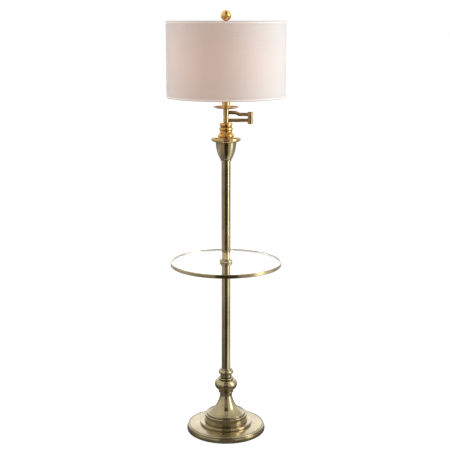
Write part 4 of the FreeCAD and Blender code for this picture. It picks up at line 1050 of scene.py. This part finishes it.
class LAMP_OT_table(bpy.types.Operator):
    """Cut the glass top and spin its rim, flange and collar"""
    bl_idname = "floor_lamp.table"
    bl_label = "Glass table"
    bl_options = {"REGISTER", "UNDO"}

    def execute(self, context):
        size, bore = context.scene.lamp_table, context.scene.lamp_foot.bore
        glass_radius, glass_low, glass_top = span("glass_top")
        glass = ring("table_glass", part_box("pipe_coupler")[1].x, glass_radius, glass_low, glass_top,
                     soften=size.glass_edge, steps=GLASS_STEPS)
        hand_over(glass, "glass_top")

        rim, low, top = span("table_rim")
        edge, rounding = rim - size.rim_wall, size.rim_round
        ledge, seat, soft = edge - size.rim_ledge, low + size.rim_drop, rounding * ARC_SHARE
        spin("glass_rim", "table_rim", [
            (rim - rounding, low), (rim - soft, low + soft, rim, low + rounding),
            (rim, top - rounding), (rim - soft, top - soft, rim - rounding, top),
            (edge + soft, top), (edge, top - soft), (edge, seat), (ledge, seat),
            (ledge, low + rounding), (ledge + soft, low + soft, ledge + rounding, low)], steps=GLASS_STEPS)

        tube = span("lower_tube")[0] + size.tube_gap
        hub, plate = tube + size.hub_wall, size.flange_plate
        brim, low, top = span("table_flange")
        seat = span("lower_tube")[2]
        spin("glass_flange", "table_flange", [
            (tube, low), (hub, low), (hub, top - plate * FLANGE_FOOT),
            (between(hub, brim, FLANGE_CURVE), top - plate * FLANGE_MIDDLE, brim, top - plate),
            (brim, top), (bore, top), (bore, seat), (tube, seat)])

        brim, low, top = span("table_collar")
        seat, rise = span("upper_tube")[1], top - low
        spin("glass_collar", "table_collar", [
            (bore, low), (brim, low), (brim, low + rise * TABLE_COLLAR_SIDE),
            (between(brim, hub, TABLE_COLLAR_CURVE[0]), low + rise * TABLE_COLLAR_CURVE[1], hub, top),
            (tube, top), (tube, seat), (bore, seat)])
        return {"FINISHED"}


class LAMP_OT_head(bpy.types.Operator):
    """Spin the trumpet cup and the polished cap at the column's top"""
    bl_idname = "floor_lamp.head"
    bl_label = "Cup and cap"
    bl_options = {"REGISTER", "UNDO"}

    def execute(self, context):
        size, bore = context.scene.lamp_head, context.scene.lamp_foot.bore
        tube = span("upper_tube")[0] + context.scene.lamp_table.tube_gap
        mouth, low, top = span("trumpet_cup")
        seat, throat, wall = span("upper_tube")[2], low + size.cup_foot_height, size.cup_wall

        def on_cup(across, up):
            return between(size.cup_throat, mouth, across), between(throat, top, up)

        spin("cup", "trumpet_cup", [
            (size.cup_foot, low), (size.cup_foot, throat), (size.cup_throat, throat + wall),
            (*on_cup(*CUP_CURVE[0]), *on_cup(*CUP_CURVE[1])), (mouth, top), (mouth - wall, top),
            (on_cup(*CUP_INSIDE)[0] - wall, on_cup(*CUP_INSIDE)[1]),
            (tube + wall, seat + throat - low + wall * 2), (tube + wall, seat + wall * 2),
            (bore, seat + wall * 2), (bore, seat), (tube, seat), (tube, low)])

        low, top = top, span("cap")[2]
        rim, rise = size.rim_height, low + size.cone_rise
        cone_level = rise + size.cone_height
        low_bead = cone_level + size.low_bead_rise
        waist = low_bead + size.waist_rise
        high_bead = waist + size.high_bead_rise
        under, shoulder = size.underside, size.underside + rim / 2
        root = span("arm_pivot")[1]
        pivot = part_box("arm_pivot")[1].x * HUB_BORE
        spin("cap_turning", "cap", [
            (mouth - wall * 4, low), (under, low), (shoulder, low + rim * CAP_RIM_FOOT),
            (under + size.overhang, low + rim * CAP_RIM_CREST, shoulder, low + rim * CAP_RIM_TOP),
            (size.cone_foot, rise),
            (between(size.cone_foot, size.cone_top, CONE_CURVE[0]), between(rise, cone_level, CONE_CURVE[1]),
             size.cone_top, cone_level),
            (size.cone_top, between(cone_level, low_bead, CAP_BEADS[0])),
            (size.low_bead, low_bead, size.waist, between(low_bead, waist, CAP_BEADS[1])),
            (size.waist, between(waist, high_bead, CAP_BEADS[2])),
            (size.high_bead, high_bead, between(size.waist, size.high_bead, CAP_BEADS[3]), top),
            (pivot, top), (pivot, root), (bore, root), (bore, cone_level - wall * 2),
            (size.cone_top - wall * 2, cone_level - wall * 2), (size.cone_foot - wall * 2, rise - wall * 2),
            (mouth - wall * 4, low + rim / 2)])
        return {"FINISHED"}


class LAMP_OT_arms(bpy.types.Operator):
    """Turn the hubs and knuckles and bend the rods of the swing arm"""
    bl_idname = "floor_lamp.arms"
    bl_label = "Swing arm"
    bl_options = {"REGISTER", "UNDO"}

    def execute(self, context):
        size, pivot = context.scene.lamp_arm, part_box("arm_pivot")[1].x * HUB_BORE
        inner = span("lower_hub")[0] - size.socket
        outer = size.reach - span("lower_knuckle")[0] + size.socket
        for name, node, bore in (("arm_hub", "lower_hub", pivot),
                                 ("holder_post", "socket_post", context.scene.lamp_holder.bore)):
            self.hub(name, node, bore, 0.0, size)
        for name, node, bore in (("elbow_lower", "lower_knuckle", 0.0),
                                 ("elbow_upper", "upper_knuckle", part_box("arm_pivot")[1].x * ELBOW_BORE)):
            self.hub(name, node, bore, size.reach, size)
        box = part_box("lower_arm")
        level = (box[0].z + box[1].z) / 2
        rod = straight_rod("arm_lower", size.arm_radius, (inner, 0, level), (outer, 0, level))
        hand_over(rod, "lower_arm", "golden_brass_rod")

        low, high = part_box("upper_arm")
        elbow, post = low.z + size.arm_radius, high.z - size.arm_radius
        start, end = size.bend_start, size.bend_end
        middle = Vector((start + end, post + elbow)) / 2
        bend = [Vector((inner, post)), Vector((start, post))]
        bend += self.half_bend(Vector((start, post)), middle)
        back = self.half_bend(Vector((end, elbow)), middle)[:-1]
        bend += back[::-1] + [Vector((end, elbow)), Vector((outer, elbow))]
        rod = bent_rod("arm_upper", [(point.x, 0, point.y) for point in bend], size.arm_radius)
        hand_over(rod, "upper_arm", "golden_brass_rod")
        return {"FINISHED"}

    def half_bend(self, start, end):
        """Points after start on the arc that leaves it level and ends at end."""
        across, up = end - start
        radius = (across * across + up * up) / (2 * up)
        sweep = math.asin(across / radius)
        turns = [sweep * step / BEND_STEPS for step in range(1, BEND_STEPS + 1)]
        return [start + Vector((math.sin(turn), 1 - math.cos(turn))) * radius for turn in turns]

    def hub(self, name, node, bore, across, size):
        """A turned hub with a fine groove near each end."""
        radius, low, top = span(node)
        groove, soft = size.groove, size.soft
        sides = [(radius, low)]
        for level in (low + soft * 3, top - soft * 3 - groove):
            sides += [(radius, level), (radius - groove, level + groove / 2, radius, level + groove)]
        sides += [(radius, top), (bore, top), (bore, low)]
        spin(name, node, sides, "golden_brass_elbow" if across else "golden_brass", centre=(across, 0),
             soften=soft, steps=SMALL_STEPS)


class LAMP_OT_holder(bpy.types.Operator):
    """Spin the drip pan, the candle cup and the socket, and turn its switch key"""
    bl_idname = "floor_lamp.holder"
    bl_label = "Lamp holder"
    bl_options = {"REGISTER", "UNDO"}

    def execute(self, context):
        size = context.scene.lamp_holder
        bore, wall, lip = size.bore, size.pan_wall, size.pan_lip
        radius, low, top = span("drip_pan")
        dish = low + size.pan_dish
        spin("pan", "drip_pan", [
            (bore, low), (span("socket_post")[0], low),
            (size.pan_hub, dish - wall, between(size.pan_hub, radius, PAN_OUTSIDE), dish - wall / 2),
            (radius - lip, top - lip), (radius, top - lip / 2, radius - lip, top),
            (between(size.pan_hub, radius, PAN_INSIDE), dish + wall / 2), (size.pan_hub, dish), (bore, dish)])

        foot, waist, wall = size.candle_foot, size.candle_waist, size.wall
        low, top = dish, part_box("harp_saddle")[0].z
        rise, shoulder = top - low, low + (top - low) * CANDLE_SHOULDER
        spin("candle", "candle_cup", [
            (foot - wall, low), (foot, low), (foot, low + size.candle_lip),
            (between(foot, waist, CANDLE_CURVE[0]), low + rise * CANDLE_CURVE[1], waist, shoulder),
            (waist, top), (bore, top), (bore, top - wall), (waist - wall, top - wall),
            (waist - wall, shoulder)], steps=CANDLE_STEPS)

        shell, low, top = span("socket_shell")
        base_low = span("socket_base_cup")[1]
        base = shell - size.wall
        spin("socket_cap", "socket_base_cup", [
            (bore, base_low), (base, base_low), (shell, between(base_low, low, 0.5), shell, low),
            (shell - size.wall, low), (base - size.wall, base_low + size.wall), (bore, base_low + size.wall)],
            steps=SMALL_STEPS)
        bead = size.wall / 2
        sides = [(shell, low)]
        for level in (low + bead, top - bead * 5):
            sides += [(shell, level), (shell + bead, level + bead, shell, level + bead * 2)]
        spin("socket_tube", "socket_shell",
             [*sides, (shell, top), (shell - bead, top), (shell - bead, low)], steps=SMALL_STEPS)
        self.key(size)
        return {"FINISHED"}

    def key(self, size):
        """The switch's shaft and its fluted knob, which point to the front."""
        low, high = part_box("switch_key")
        knob, centre, reach = (high.x - low.x) / 2, (low.z + high.z) / 2, high.y - low.y
        shaft, start, soft = knob * KEY_SHAFT, reach - knob * KNOB_LENGTH, knob * KNOB_ROUND
        key = turned("key", [
            (0, 0), (shaft, 0), (shaft, start), (knob * KNOB_FACE, start), (knob, start + soft),
            (knob, reach - soft), (knob * KNOB_CROWN[0], reach - knob * KNOB_CROWN[1], 0, reach)],
            steps=SMALL_STEPS, place=(0, high.y, centre), turn=(math.pi / 2, 0, 0))
        for vertex in key.data.vertices:
            if high.y - vertex.co.y > start + knob * FLUTE_START:
                around = math.atan2(vertex.co.x, vertex.co.z - centre)
                away = math.hypot(vertex.co.x, vertex.co.z - centre) / knob
                shrink = 1 - away * size.knurl_depth / knob * (0.5 + 0.5 * math.cos(around * FLUTES))
                vertex.co.x *= shrink
                vertex.co.z = centre + (vertex.co.z - centre) * shrink
        hand_over(key, "switch_key")


class LAMP_OT_bulb(bpy.types.Operator):
    """Blow the bulb and roll the thread of its base"""
    bl_idname = "floor_lamp.bulb"
    bl_label = "Bulb"
    bl_options = {"REGISTER", "UNDO"}

    def execute(self, context):
        size = context.scene.lamp_holder
        radius, low, top = span("bulb_base")
        contact = radius * CONTACT_SHARE
        inset, pitch = size.thread_depth, size.thread_pitch
        side, level = [], low + contact
        while level + pitch < top - inset:
            side += [(radius - inset, level), (radius, level + pitch / 2, radius - inset, level + pitch)]
            level += pitch
        spin("bulb_thread", "bulb_base", [
            (0, low), (contact, low), (radius - inset, low + contact), *side,
            (radius - inset, top), (0, top)], steps=SMALL_STEPS)
        ball, low, top = span("bulb_glass")
        neck, height = radius + inset, top - low
        equator = top - ball

        def on_bulb(across, up):
            return between(neck, ball, across), low + height * up

        spin("bulb", "bulb_glass", [
            (neck, low), (*on_bulb(*BULB_CURVE[0]), *on_bulb(*BULB_CURVE[1])),
            (ball, equator), (ball * math.sqrt(0.5), equator + ball * math.sqrt(0.5), 0, top),
            (0, top - inset), (ball * 0.68, equator + ball * 0.68, ball - inset, equator),
            (between(neck, ball, 0.8) - inset, low + height * BULB_CURVE[1][1]), (neck - inset, low + inset),
            (neck - inset, low)], steps=CANDLE_STEPS)
        return {"FINISHED"}


class LAMP_OT_harp(bpy.types.Operator):
    """Bend the harp's wire and turn its sleeves"""
    bl_idname = "floor_lamp.harp"
    bl_label = "Harp"
    bl_options = {"REGISTER", "UNDO"}

    def execute(self, context):
        size = context.scene.lamp_shade
        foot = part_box("harp")[0].z
        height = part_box("harp")[1].z - size.harp_wire - foot
        half = self.half_path(size, height)
        line = [(x, 0, foot + z) for x, z in half] + [(-x, 0, foot + z) for x, z in half[-2::-1]]
        hand_over(bent_rod("harp_wire", line, size.harp_wire), "harp")
        for name, node in (("sleeve_left", "harp_sleeve_left"), ("sleeve_right", "harp_sleeve_right")):
            outer, low, top = span(node)
            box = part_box(node)
            inner, bead = size.harp_wire + size.harp_wire * 0.35, size.harp_wire * 0.2
            spin(name, node, [
                (inner, low), (outer, low), (outer, low + bead * 3), (outer - bead, low + bead * 4),
                (outer - bead, top - bead * 4), (outer, top - bead * 3), (outer, top), (inner, top)],
                centre=((box[0].x + box[1].x) / 2, 0), steps=SLEEVE_STEPS)
        return {"FINISHED"}

    def half_path(self, size, height):
        """Half of the wire's line: a leg, a bend outwards, the long side and the crown."""
        lean, reach, leg, bend = size.harp_lean, size.harp_reach, size.harp_leg, size.harp_bend
        out_x, out_z = reach + bend * (1 - math.cos(lean)), leg + bend * math.sin(lean)
        closing = (1 - math.sin(lean)) / math.cos(lean)
        side = (height - out_z - closing * out_x) / (2 * math.sin(lean))
        crown = out_x / math.cos(lean)
        in_z = out_z + 2 * side * math.sin(lean)
        points = [(reach, 0.0), (reach, leg)]
        steps = [step / HARP_STEPS for step in range(1, HARP_STEPS + 1)]
        points += [(reach + bend * (1 - math.cos(lean * part)), leg + bend * math.sin(lean * part))
                   for part in steps]
        points += [(out_x + side * (math.cos(lean * (1 - 2 * part)) - math.cos(lean)),
                    out_z + side * (math.sin(lean) - math.sin(lean * (1 - 2 * part)))) for part in steps]
        turns = [lean + (math.pi / 2 - lean) * part for part in steps]
        points += [(crown * math.cos(turn), in_z + crown * (math.sin(turn) - math.sin(lean)))
                   for turn in turns]
        return points


def map_weave(piece, centre_level):
    """Give the piece a map in metres: round the shade from its front, and up from its middle."""
    layer = piece.data.uv_layers.get("weave") or piece.data.uv_layers.new(name="weave")
    radius = span("shade_fabric")[0]
    for face in piece.data.polygons:
        front = math.atan2(face.center.x, -face.center.y)
        for corner in face.loop_indices:
            point = piece.data.vertices[piece.data.loops[corner].vertex_index].co
            around = math.atan2(point.x, -point.y)
            around += math.tau * round((front - around) / math.tau)
            layer.data[corner].uv = (around * radius, point.z - centre_level)


class LAMP_OT_shade(bpy.types.Operator):
    """Stretch the linen on its liner and frame, and fold the hem tape over its edges"""
    bl_idname = "floor_lamp.shade"
    bl_label = "Drum shade"
    bl_options = {"REGISTER", "UNDO"}

    def execute(self, context):
        size = context.scene.lamp_shade
        radius, low, top = span("shade_fabric")
        middle = (low + top) / 2
        fabric = self.drum("linen_drum", radius, low, top, size)
        map_weave(fabric, middle)
        hand_over(fabric, "shade_fabric")
        liner_radius = radius - size.fabric
        liner = ring("styrene_liner", liner_radius - size.liner, liner_radius, low, top, steps=FINE_STEPS)
        hand_over(liner, "shade_liner")

        inner = liner_radius - size.liner
        for name, node, edge, inward in (("hem_bottom", "shade_trim_bottom", low, 1),
                                         ("hem_top", "shade_trim_top", top, -1)):
            height = span(node)[2] - span(node)[1]
            tape = self.hem(name, radius, inner, edge, inward, height, size)
            map_weave(tape, middle)
            hand_over(tape, node)
        seam = self.seam(radius, low, top, size)
        map_weave(seam, middle)
        dress(seam, "shade_fabric", None)
        self.frame(size)
        return {"FINISHED"}

    def drum(self, name, radius, low, top, size):
        """A thin drum of cloth with the slight unevenness of glued linen."""
        begin()
        bpy.ops.mesh.primitive_cylinder_add(vertices=192, radius=radius, depth=top - low,
                                            end_fill_type="NOTHING", location=(0, 0, (low + top) / 2))
        drum = bpy.context.object
        bpy.ops.object.mode_set(mode="EDIT")
        for row in range(1, CLOTH_ROWS):
            bpy.ops.mesh.select_all(action="SELECT")
            bpy.ops.mesh.bisect(plane_co=(0, 0, between(low, top, row / CLOTH_ROWS)), plane_no=(0, 0, 1))
        bpy.ops.mesh.select_all(action="SELECT")
        bpy.ops.mesh.normals_make_consistent(inside=False)
        bpy.ops.object.mode_set(mode="OBJECT")
        finished(drum, name)
        for vertex in drum.data.vertices:
            around, up = math.atan2(vertex.co.y, vertex.co.x), (vertex.co.z - low) / (top - low)
            hold = math.sin(math.pi * min(max(up, 0), 1))
            stray = sum(strength * math.sin(around * round_it + up * along + phase)
                        for round_it, along, phase, strength in CLOTH_WAVES) / 2
            scale = 1 + (stray - 1) * hold * size.unevenness / radius / 2
            vertex.co.x *= scale
            vertex.co.y *= scale
        return thicken(drum, size.fabric * 0.9, -1)

    def hem(self, name, radius, inner, edge, inward, height, size):
        """Tape folded over one edge of the drum. Inward points up at the bottom edge and down at the top."""
        tape, lip = size.tape, edge - inward * size.tape
        outer = radius + tape
        crest = edge - inward * size.tape * 1.6
        return turned(name, [
            (radius, edge + inward * height), (outer, edge + inward * height), (outer, edge),
            ((outer + inner - tape) / 2, crest, inner - tape, edge),
            (inner - tape, edge + inward * size.tape_inside), (inner, edge + inward * size.tape_inside),
            (inner, edge), (between(inner, radius, 0.5), between(edge, lip, 0.5)), (radius, edge)],
            steps=FINE_STEPS, soften=tape * 0.4)

    def seam(self, radius, low, top, size):
        """The overlap where the linen's ends are glued, at the back of the drum."""
        begin()
        bpy.ops.mesh.primitive_plane_add(size=1, location=(0, radius, (low + top) / 2),
                                         rotation=(math.pi / 2, 0, 0))
        seam = bpy.context.object
        seam.scale = (size.seam_width, top - low - size.tape * 2, 1)
        bpy.ops.object.transform_apply(location=True, rotation=True, scale=True)
        bpy.ops.object.mode_set(mode="EDIT")
        bpy.ops.mesh.select_all(action="SELECT")
        bpy.ops.mesh.subdivide(number_cuts=SEAM_CUTS)
        bpy.ops.object.mode_set(mode="OBJECT")
        for vertex in seam.data.vertices:
            vertex.co.y = math.sqrt(radius ** 2 - vertex.co.x ** 2)
        bpy.ops.object.mode_set(mode="EDIT")
        bpy.ops.mesh.select_all(action="SELECT")
        bpy.ops.mesh.normals_make_consistent(inside=False)
        bpy.ops.object.mode_set(mode="OBJECT")
        finished(seam, "linen_seam")
        outward = seam.data.polygons[0].normal.y > 0
        return thicken(seam, size.tape * 0.8, 1 if outward else -1)

    def frame(self, size):
        """Both wire rings, and the spider that hangs the shade on the harp."""
        for name, node in (("ring_wire_bottom", "shade_ring_bottom"), ("ring_wire_top", "shade_ring_top")):
            radius, low, top = span(node)
            middle, wire = (low + top) / 2, (top - low) / 2
            spin(name, node, [
                (radius - wire * 2, middle), (radius - wire, top, radius, middle),
                (radius - wire, low, radius - wire * 2, middle + AXIS_REACH)], steps=FINE_STEPS, soften=0)
        radius, ring_low, ring_top = span("shade_ring_top")
        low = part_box("shade_spider")[0].z
        plate = size.wire * 0.8
        rods = [ring("spider_washer", size.hub_hole, size.hub, low, low + plate, steps=SMALL_STEPS)]
        start, end = size.hub - size.wire, radius - size.wire * 2
        for arm in range(size.spider_arms):
            angle = math.pi / 2 + math.tau * arm / size.spider_arms
            out = Vector((math.cos(angle), math.sin(angle), 0))
            first = out * start + Vector((0, 0, low + size.wire))
            last = out * end + Vector((0, 0, (ring_low + ring_top) / 2))
            rods.append(straight_rod(f"spider_rod_{arm}", size.wire, first, last, steps=WIRE_STEPS))
        hand_over(joined("spider", rods), "shade_spider")


class LAMP_OT_finial(bpy.types.Operator):
    """Turn the ball finial"""
    bl_idname = "floor_lamp.finial"
    bl_label = "Finial"
    bl_options = {"REGISTER", "UNDO"}

    def execute(self, context):
        size = context.scene.lamp_finial
        ball, low, top = span("finial")
        centre = low + size.centre
        ball = top - centre
        neck_top = centre - math.sqrt(ball ** 2 - size.neck ** 2)
        bore, thread_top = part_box("harp_stud")[1].x * STUD_BORE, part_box("harp_stud")[1].z
        spin("finial_ball", "finial", [
            (bore, low), (size.base, low), (size.base, low + size.base_height),
            (size.neck, low + size.base_height * 2),
            (size.neck * 0.8, between(low, neck_top, 0.7), size.neck, neck_top), (ball, centre, 0, top),
            (0, thread_top + size.base_height / 2), (bore, thread_top + size.base_height / 2)],
            steps=CANDLE_STEPS)
        return {"FINISHED"}


class LAMP_OT_fittings(bpy.types.Operator):
    """Finish the built fittings that show no more than an edge, and those inside"""
    bl_idname = "floor_lamp.fittings"
    bl_label = "Fittings"
    bl_options = {"REGISTER", "UNDO"}

    def execute(self, context):
        for name, node in frame["nodes"].items():
            if not node.hide_render:
                node.data.materials.clear()
                node.data.materials.append(FINISHES[SLOT_OF[name]]())
        return {"FINISHED"}


class LAMP_OT_stage(bpy.types.Operator):
    """Set the camera, the pale floor and the studio lights"""
    bl_idname = "floor_lamp.stage"
    bl_label = "Stage"
    bl_options = {"REGISTER", "UNDO"}

    def execute(self, context):
        scene, size = context.scene, context.scene.lamp_stage
        scene.view_settings.view_transform = "Standard"
        self.camera(scene, size)
        self.floor(size)
        self.world(scene, size)
        self.dark_flags()
        for name, (sides, place, lights_surfaces, turn) in LIGHTS.items():
            source = name.removesuffix("_light")
            lamp = self.light(name, sides, place, lights_surfaces, turn)
            lamp.data.energy = getattr(size, source)
            lamp.data.color = getattr(size, source + "_tone", (1, 1, 1))
        return {"FINISHED"}

    def camera(self, scene, size):
        begin()
        bpy.ops.object.camera_add(location=size.camera_place, rotation=(size.camera_tilt, 0, 0))
        scene.camera = bpy.context.object
        scene.camera.data.lens = size.lens
        scene.camera.data.sensor_width = 36

    def floor(self, size):
        """The camera sees a pale floor, surfaces are lit by a duller one, and metal reflects a darker one."""
        begin()
        bpy.ops.mesh.primitive_plane_add(size=size.floor)
        floor = bpy.context.object
        floor.name = "floor"
        paint = Finish(bpy.data.materials.new("pale_floor"))
        matt = {"Roughness": 0.9, "Specular_IOR_Level": 0.0}
        white = (size.floor_white,) * 3
        x, y, _ = paint.split(paint.place())
        away = paint.spread(from_axis(x, y), FLOOR_FADE_START, size.floor_fade, size.floor_near,
                            size.floor_far)
        plain = paint.surface(Base_Color=white, **matt)
        lifted = paint.surface(Base_Color=white, Emission_Color=(1.0, 1.0, 1.0),
                               Emission_Strength=size.floor_lift, **matt)
        dim = paint.surface(Base_Color=paint.join(away, away, away), **matt)
        camera, glossy, through = paint.rays("Camera", "Glossy", "Transmission")
        floor.data.materials.append(paint.close(
            paint.mix(camera + through, paint.mix(glossy, plain, dim), lifted)))

    def world(self, scene, size):
        """Soft light from all sides, and plain white for what looks past the lamp."""
        scene.world = scene.world or bpy.data.worlds.new("studio")
        sky = Finish(scene.world)
        soft, white = [sky.add("Background", {"Color": (1.0, 1.0, 1.0), "Strength": strength})
                       for strength in (size.ambient, 1.0)]
        camera, glossy, through = sky.rays("Camera", "Glossy", "Transmission")
        sky.close(sky.mix(camera + glossy + through, soft, white), "World")

    def dark_flags(self):
        """Cloths before the lamp: what the metal reflects in its middle is brown-black below the eye
        and grey above it, and the linen's middle is shaded."""
        def upright(y, low, high):
            return (FLAG_LEFT, y, low), (FLAG_RIGHT, y, low), (FLAG_RIGHT, y, high), (FLAG_LEFT, y, high)

        for name, colour, diffuse, corners in (
                ("flag_wall", DARK_CLOTH, True, upright(WALL_AT, 0.0, FLAG_TOP)),
                ("flag_low_wall", DARK_CLOTH, False, upright(BEFORE_WALL, 0.0, FLAG_EYE)),
                ("flag_high_wall", GREY_CLOTH, False, upright(BEFORE_WALL, FLAG_EYE, FLAG_TOP)),
                ("flag_floor", DARK_CLOTH, False, (
                    (-0.2, -0.6, OFF_FLOOR), (0.3, -0.6, OFF_FLOOR),
                    (FLAG_RIGHT, FLOOR_END, OFF_FLOOR), (FLAG_LEFT, FLOOR_END, OFF_FLOOR))),
                ("flag_ceiling", DARK_CLOTH, False, (
                    (FLAG_LEFT, FLOOR_END, FLAG_TOP), (FLAG_RIGHT, FLOOR_END, FLAG_TOP),
                    (0.4, 0.3, FLAG_TOP), (-0.3, 0.3, FLAG_TOP)))):
            begin()
            bpy.ops.mesh.primitive_plane_add(size=1)
            flag = bpy.context.object
            flag.name = name
            for vertex, corner in zip((0, 1, 3, 2), corners):
                flag.data.vertices[vertex].co = corner
            cloth = Finish(bpy.data.materials.new(name))
            flag.data.materials.append(cloth.close(cloth.surface(
                Base_Color=(0.0, 0.0, 0.0), Roughness=1.0, Specular_IOR_Level=0.0, Emission_Color=colour,
                Emission_Strength=1.0)))
            flag.visible_camera = flag.visible_transmission = flag.visible_shadow = False
            flag.visible_diffuse, flag.visible_glossy = diffuse, not diffuse

    def light(self, name, sides, place, lights_surfaces, turn):
        begin()
        toward = Vector(AIM) - Vector(place)
        bpy.ops.object.light_add(type="AREA", location=place,
                                 rotation=turn or toward.to_track_quat("-Z", "Y").to_euler())
        lamp = bpy.context.object
        lamp.name = name
        lamp.data.shape = "RECTANGLE"
        lamp.data.size, lamp.data.size_y = sides
        lamp.visible_camera = False
        lamp.visible_diffuse, lamp.visible_glossy = lights_surfaces, not lights_surfaces
        return lamp


GROUPS = {
    "lamp_foot": FootSizes, "lamp_spindle": SpindleSizes, "lamp_table": TableSizes, "lamp_head": HeadSizes,
    "lamp_arm": ArmSizes, "lamp_holder": HolderSizes, "lamp_shade": ShadeSizes, "lamp_finial": FinialSizes,
    "lamp_finishes": Finishes, "lamp_stage": StageSizes,
}
STEPS = (LAMP_OT_foot, LAMP_OT_spindle, LAMP_OT_column, LAMP_OT_table, LAMP_OT_head, LAMP_OT_arms,
         LAMP_OT_holder, LAMP_OT_bulb, LAMP_OT_harp, LAMP_OT_shade, LAMP_OT_finial, LAMP_OT_fittings,
         LAMP_OT_stage)


class LAMP_PT_panel(bpy.types.Panel):
    """The lamp's steps, sizes and colours"""
    bl_idname = "LAMP_PT_panel"
    bl_label = "Floor Lamp"
    bl_space_type = "VIEW_3D"
    bl_region_type = "UI"
    bl_category = "Floor Lamp"

    def draw(self, context):
        for step in STEPS:
            self.layout.operator(step.bl_idname)
        for name, group in GROUPS.items():
            box = self.layout.box()
            box.label(text=group.__doc__)
            for prop in group.__annotations__:
                box.prop(getattr(context.scene, name), prop)


def register():
    for kind in (*GROUPS.values(), *STEPS, LAMP_PT_panel):
        bpy.utils.register_class(kind)
    for name, group in GROUPS.items():
        setattr(bpy.types.Scene, name, PointerProperty(type=group))


def unregister():
    for name in GROUPS:
        delattr(bpy.types.Scene, name)
    for kind in (LAMP_PT_panel, *reversed(STEPS), *reversed(GROUPS.values())):
        bpy.utils.unregister_class(kind)


def main():
    register()
    for step in STEPS:
        getattr(bpy.ops.floor_lamp, step.bl_idname.split(".")[1])()


if __name__ == "__main__":
    main()
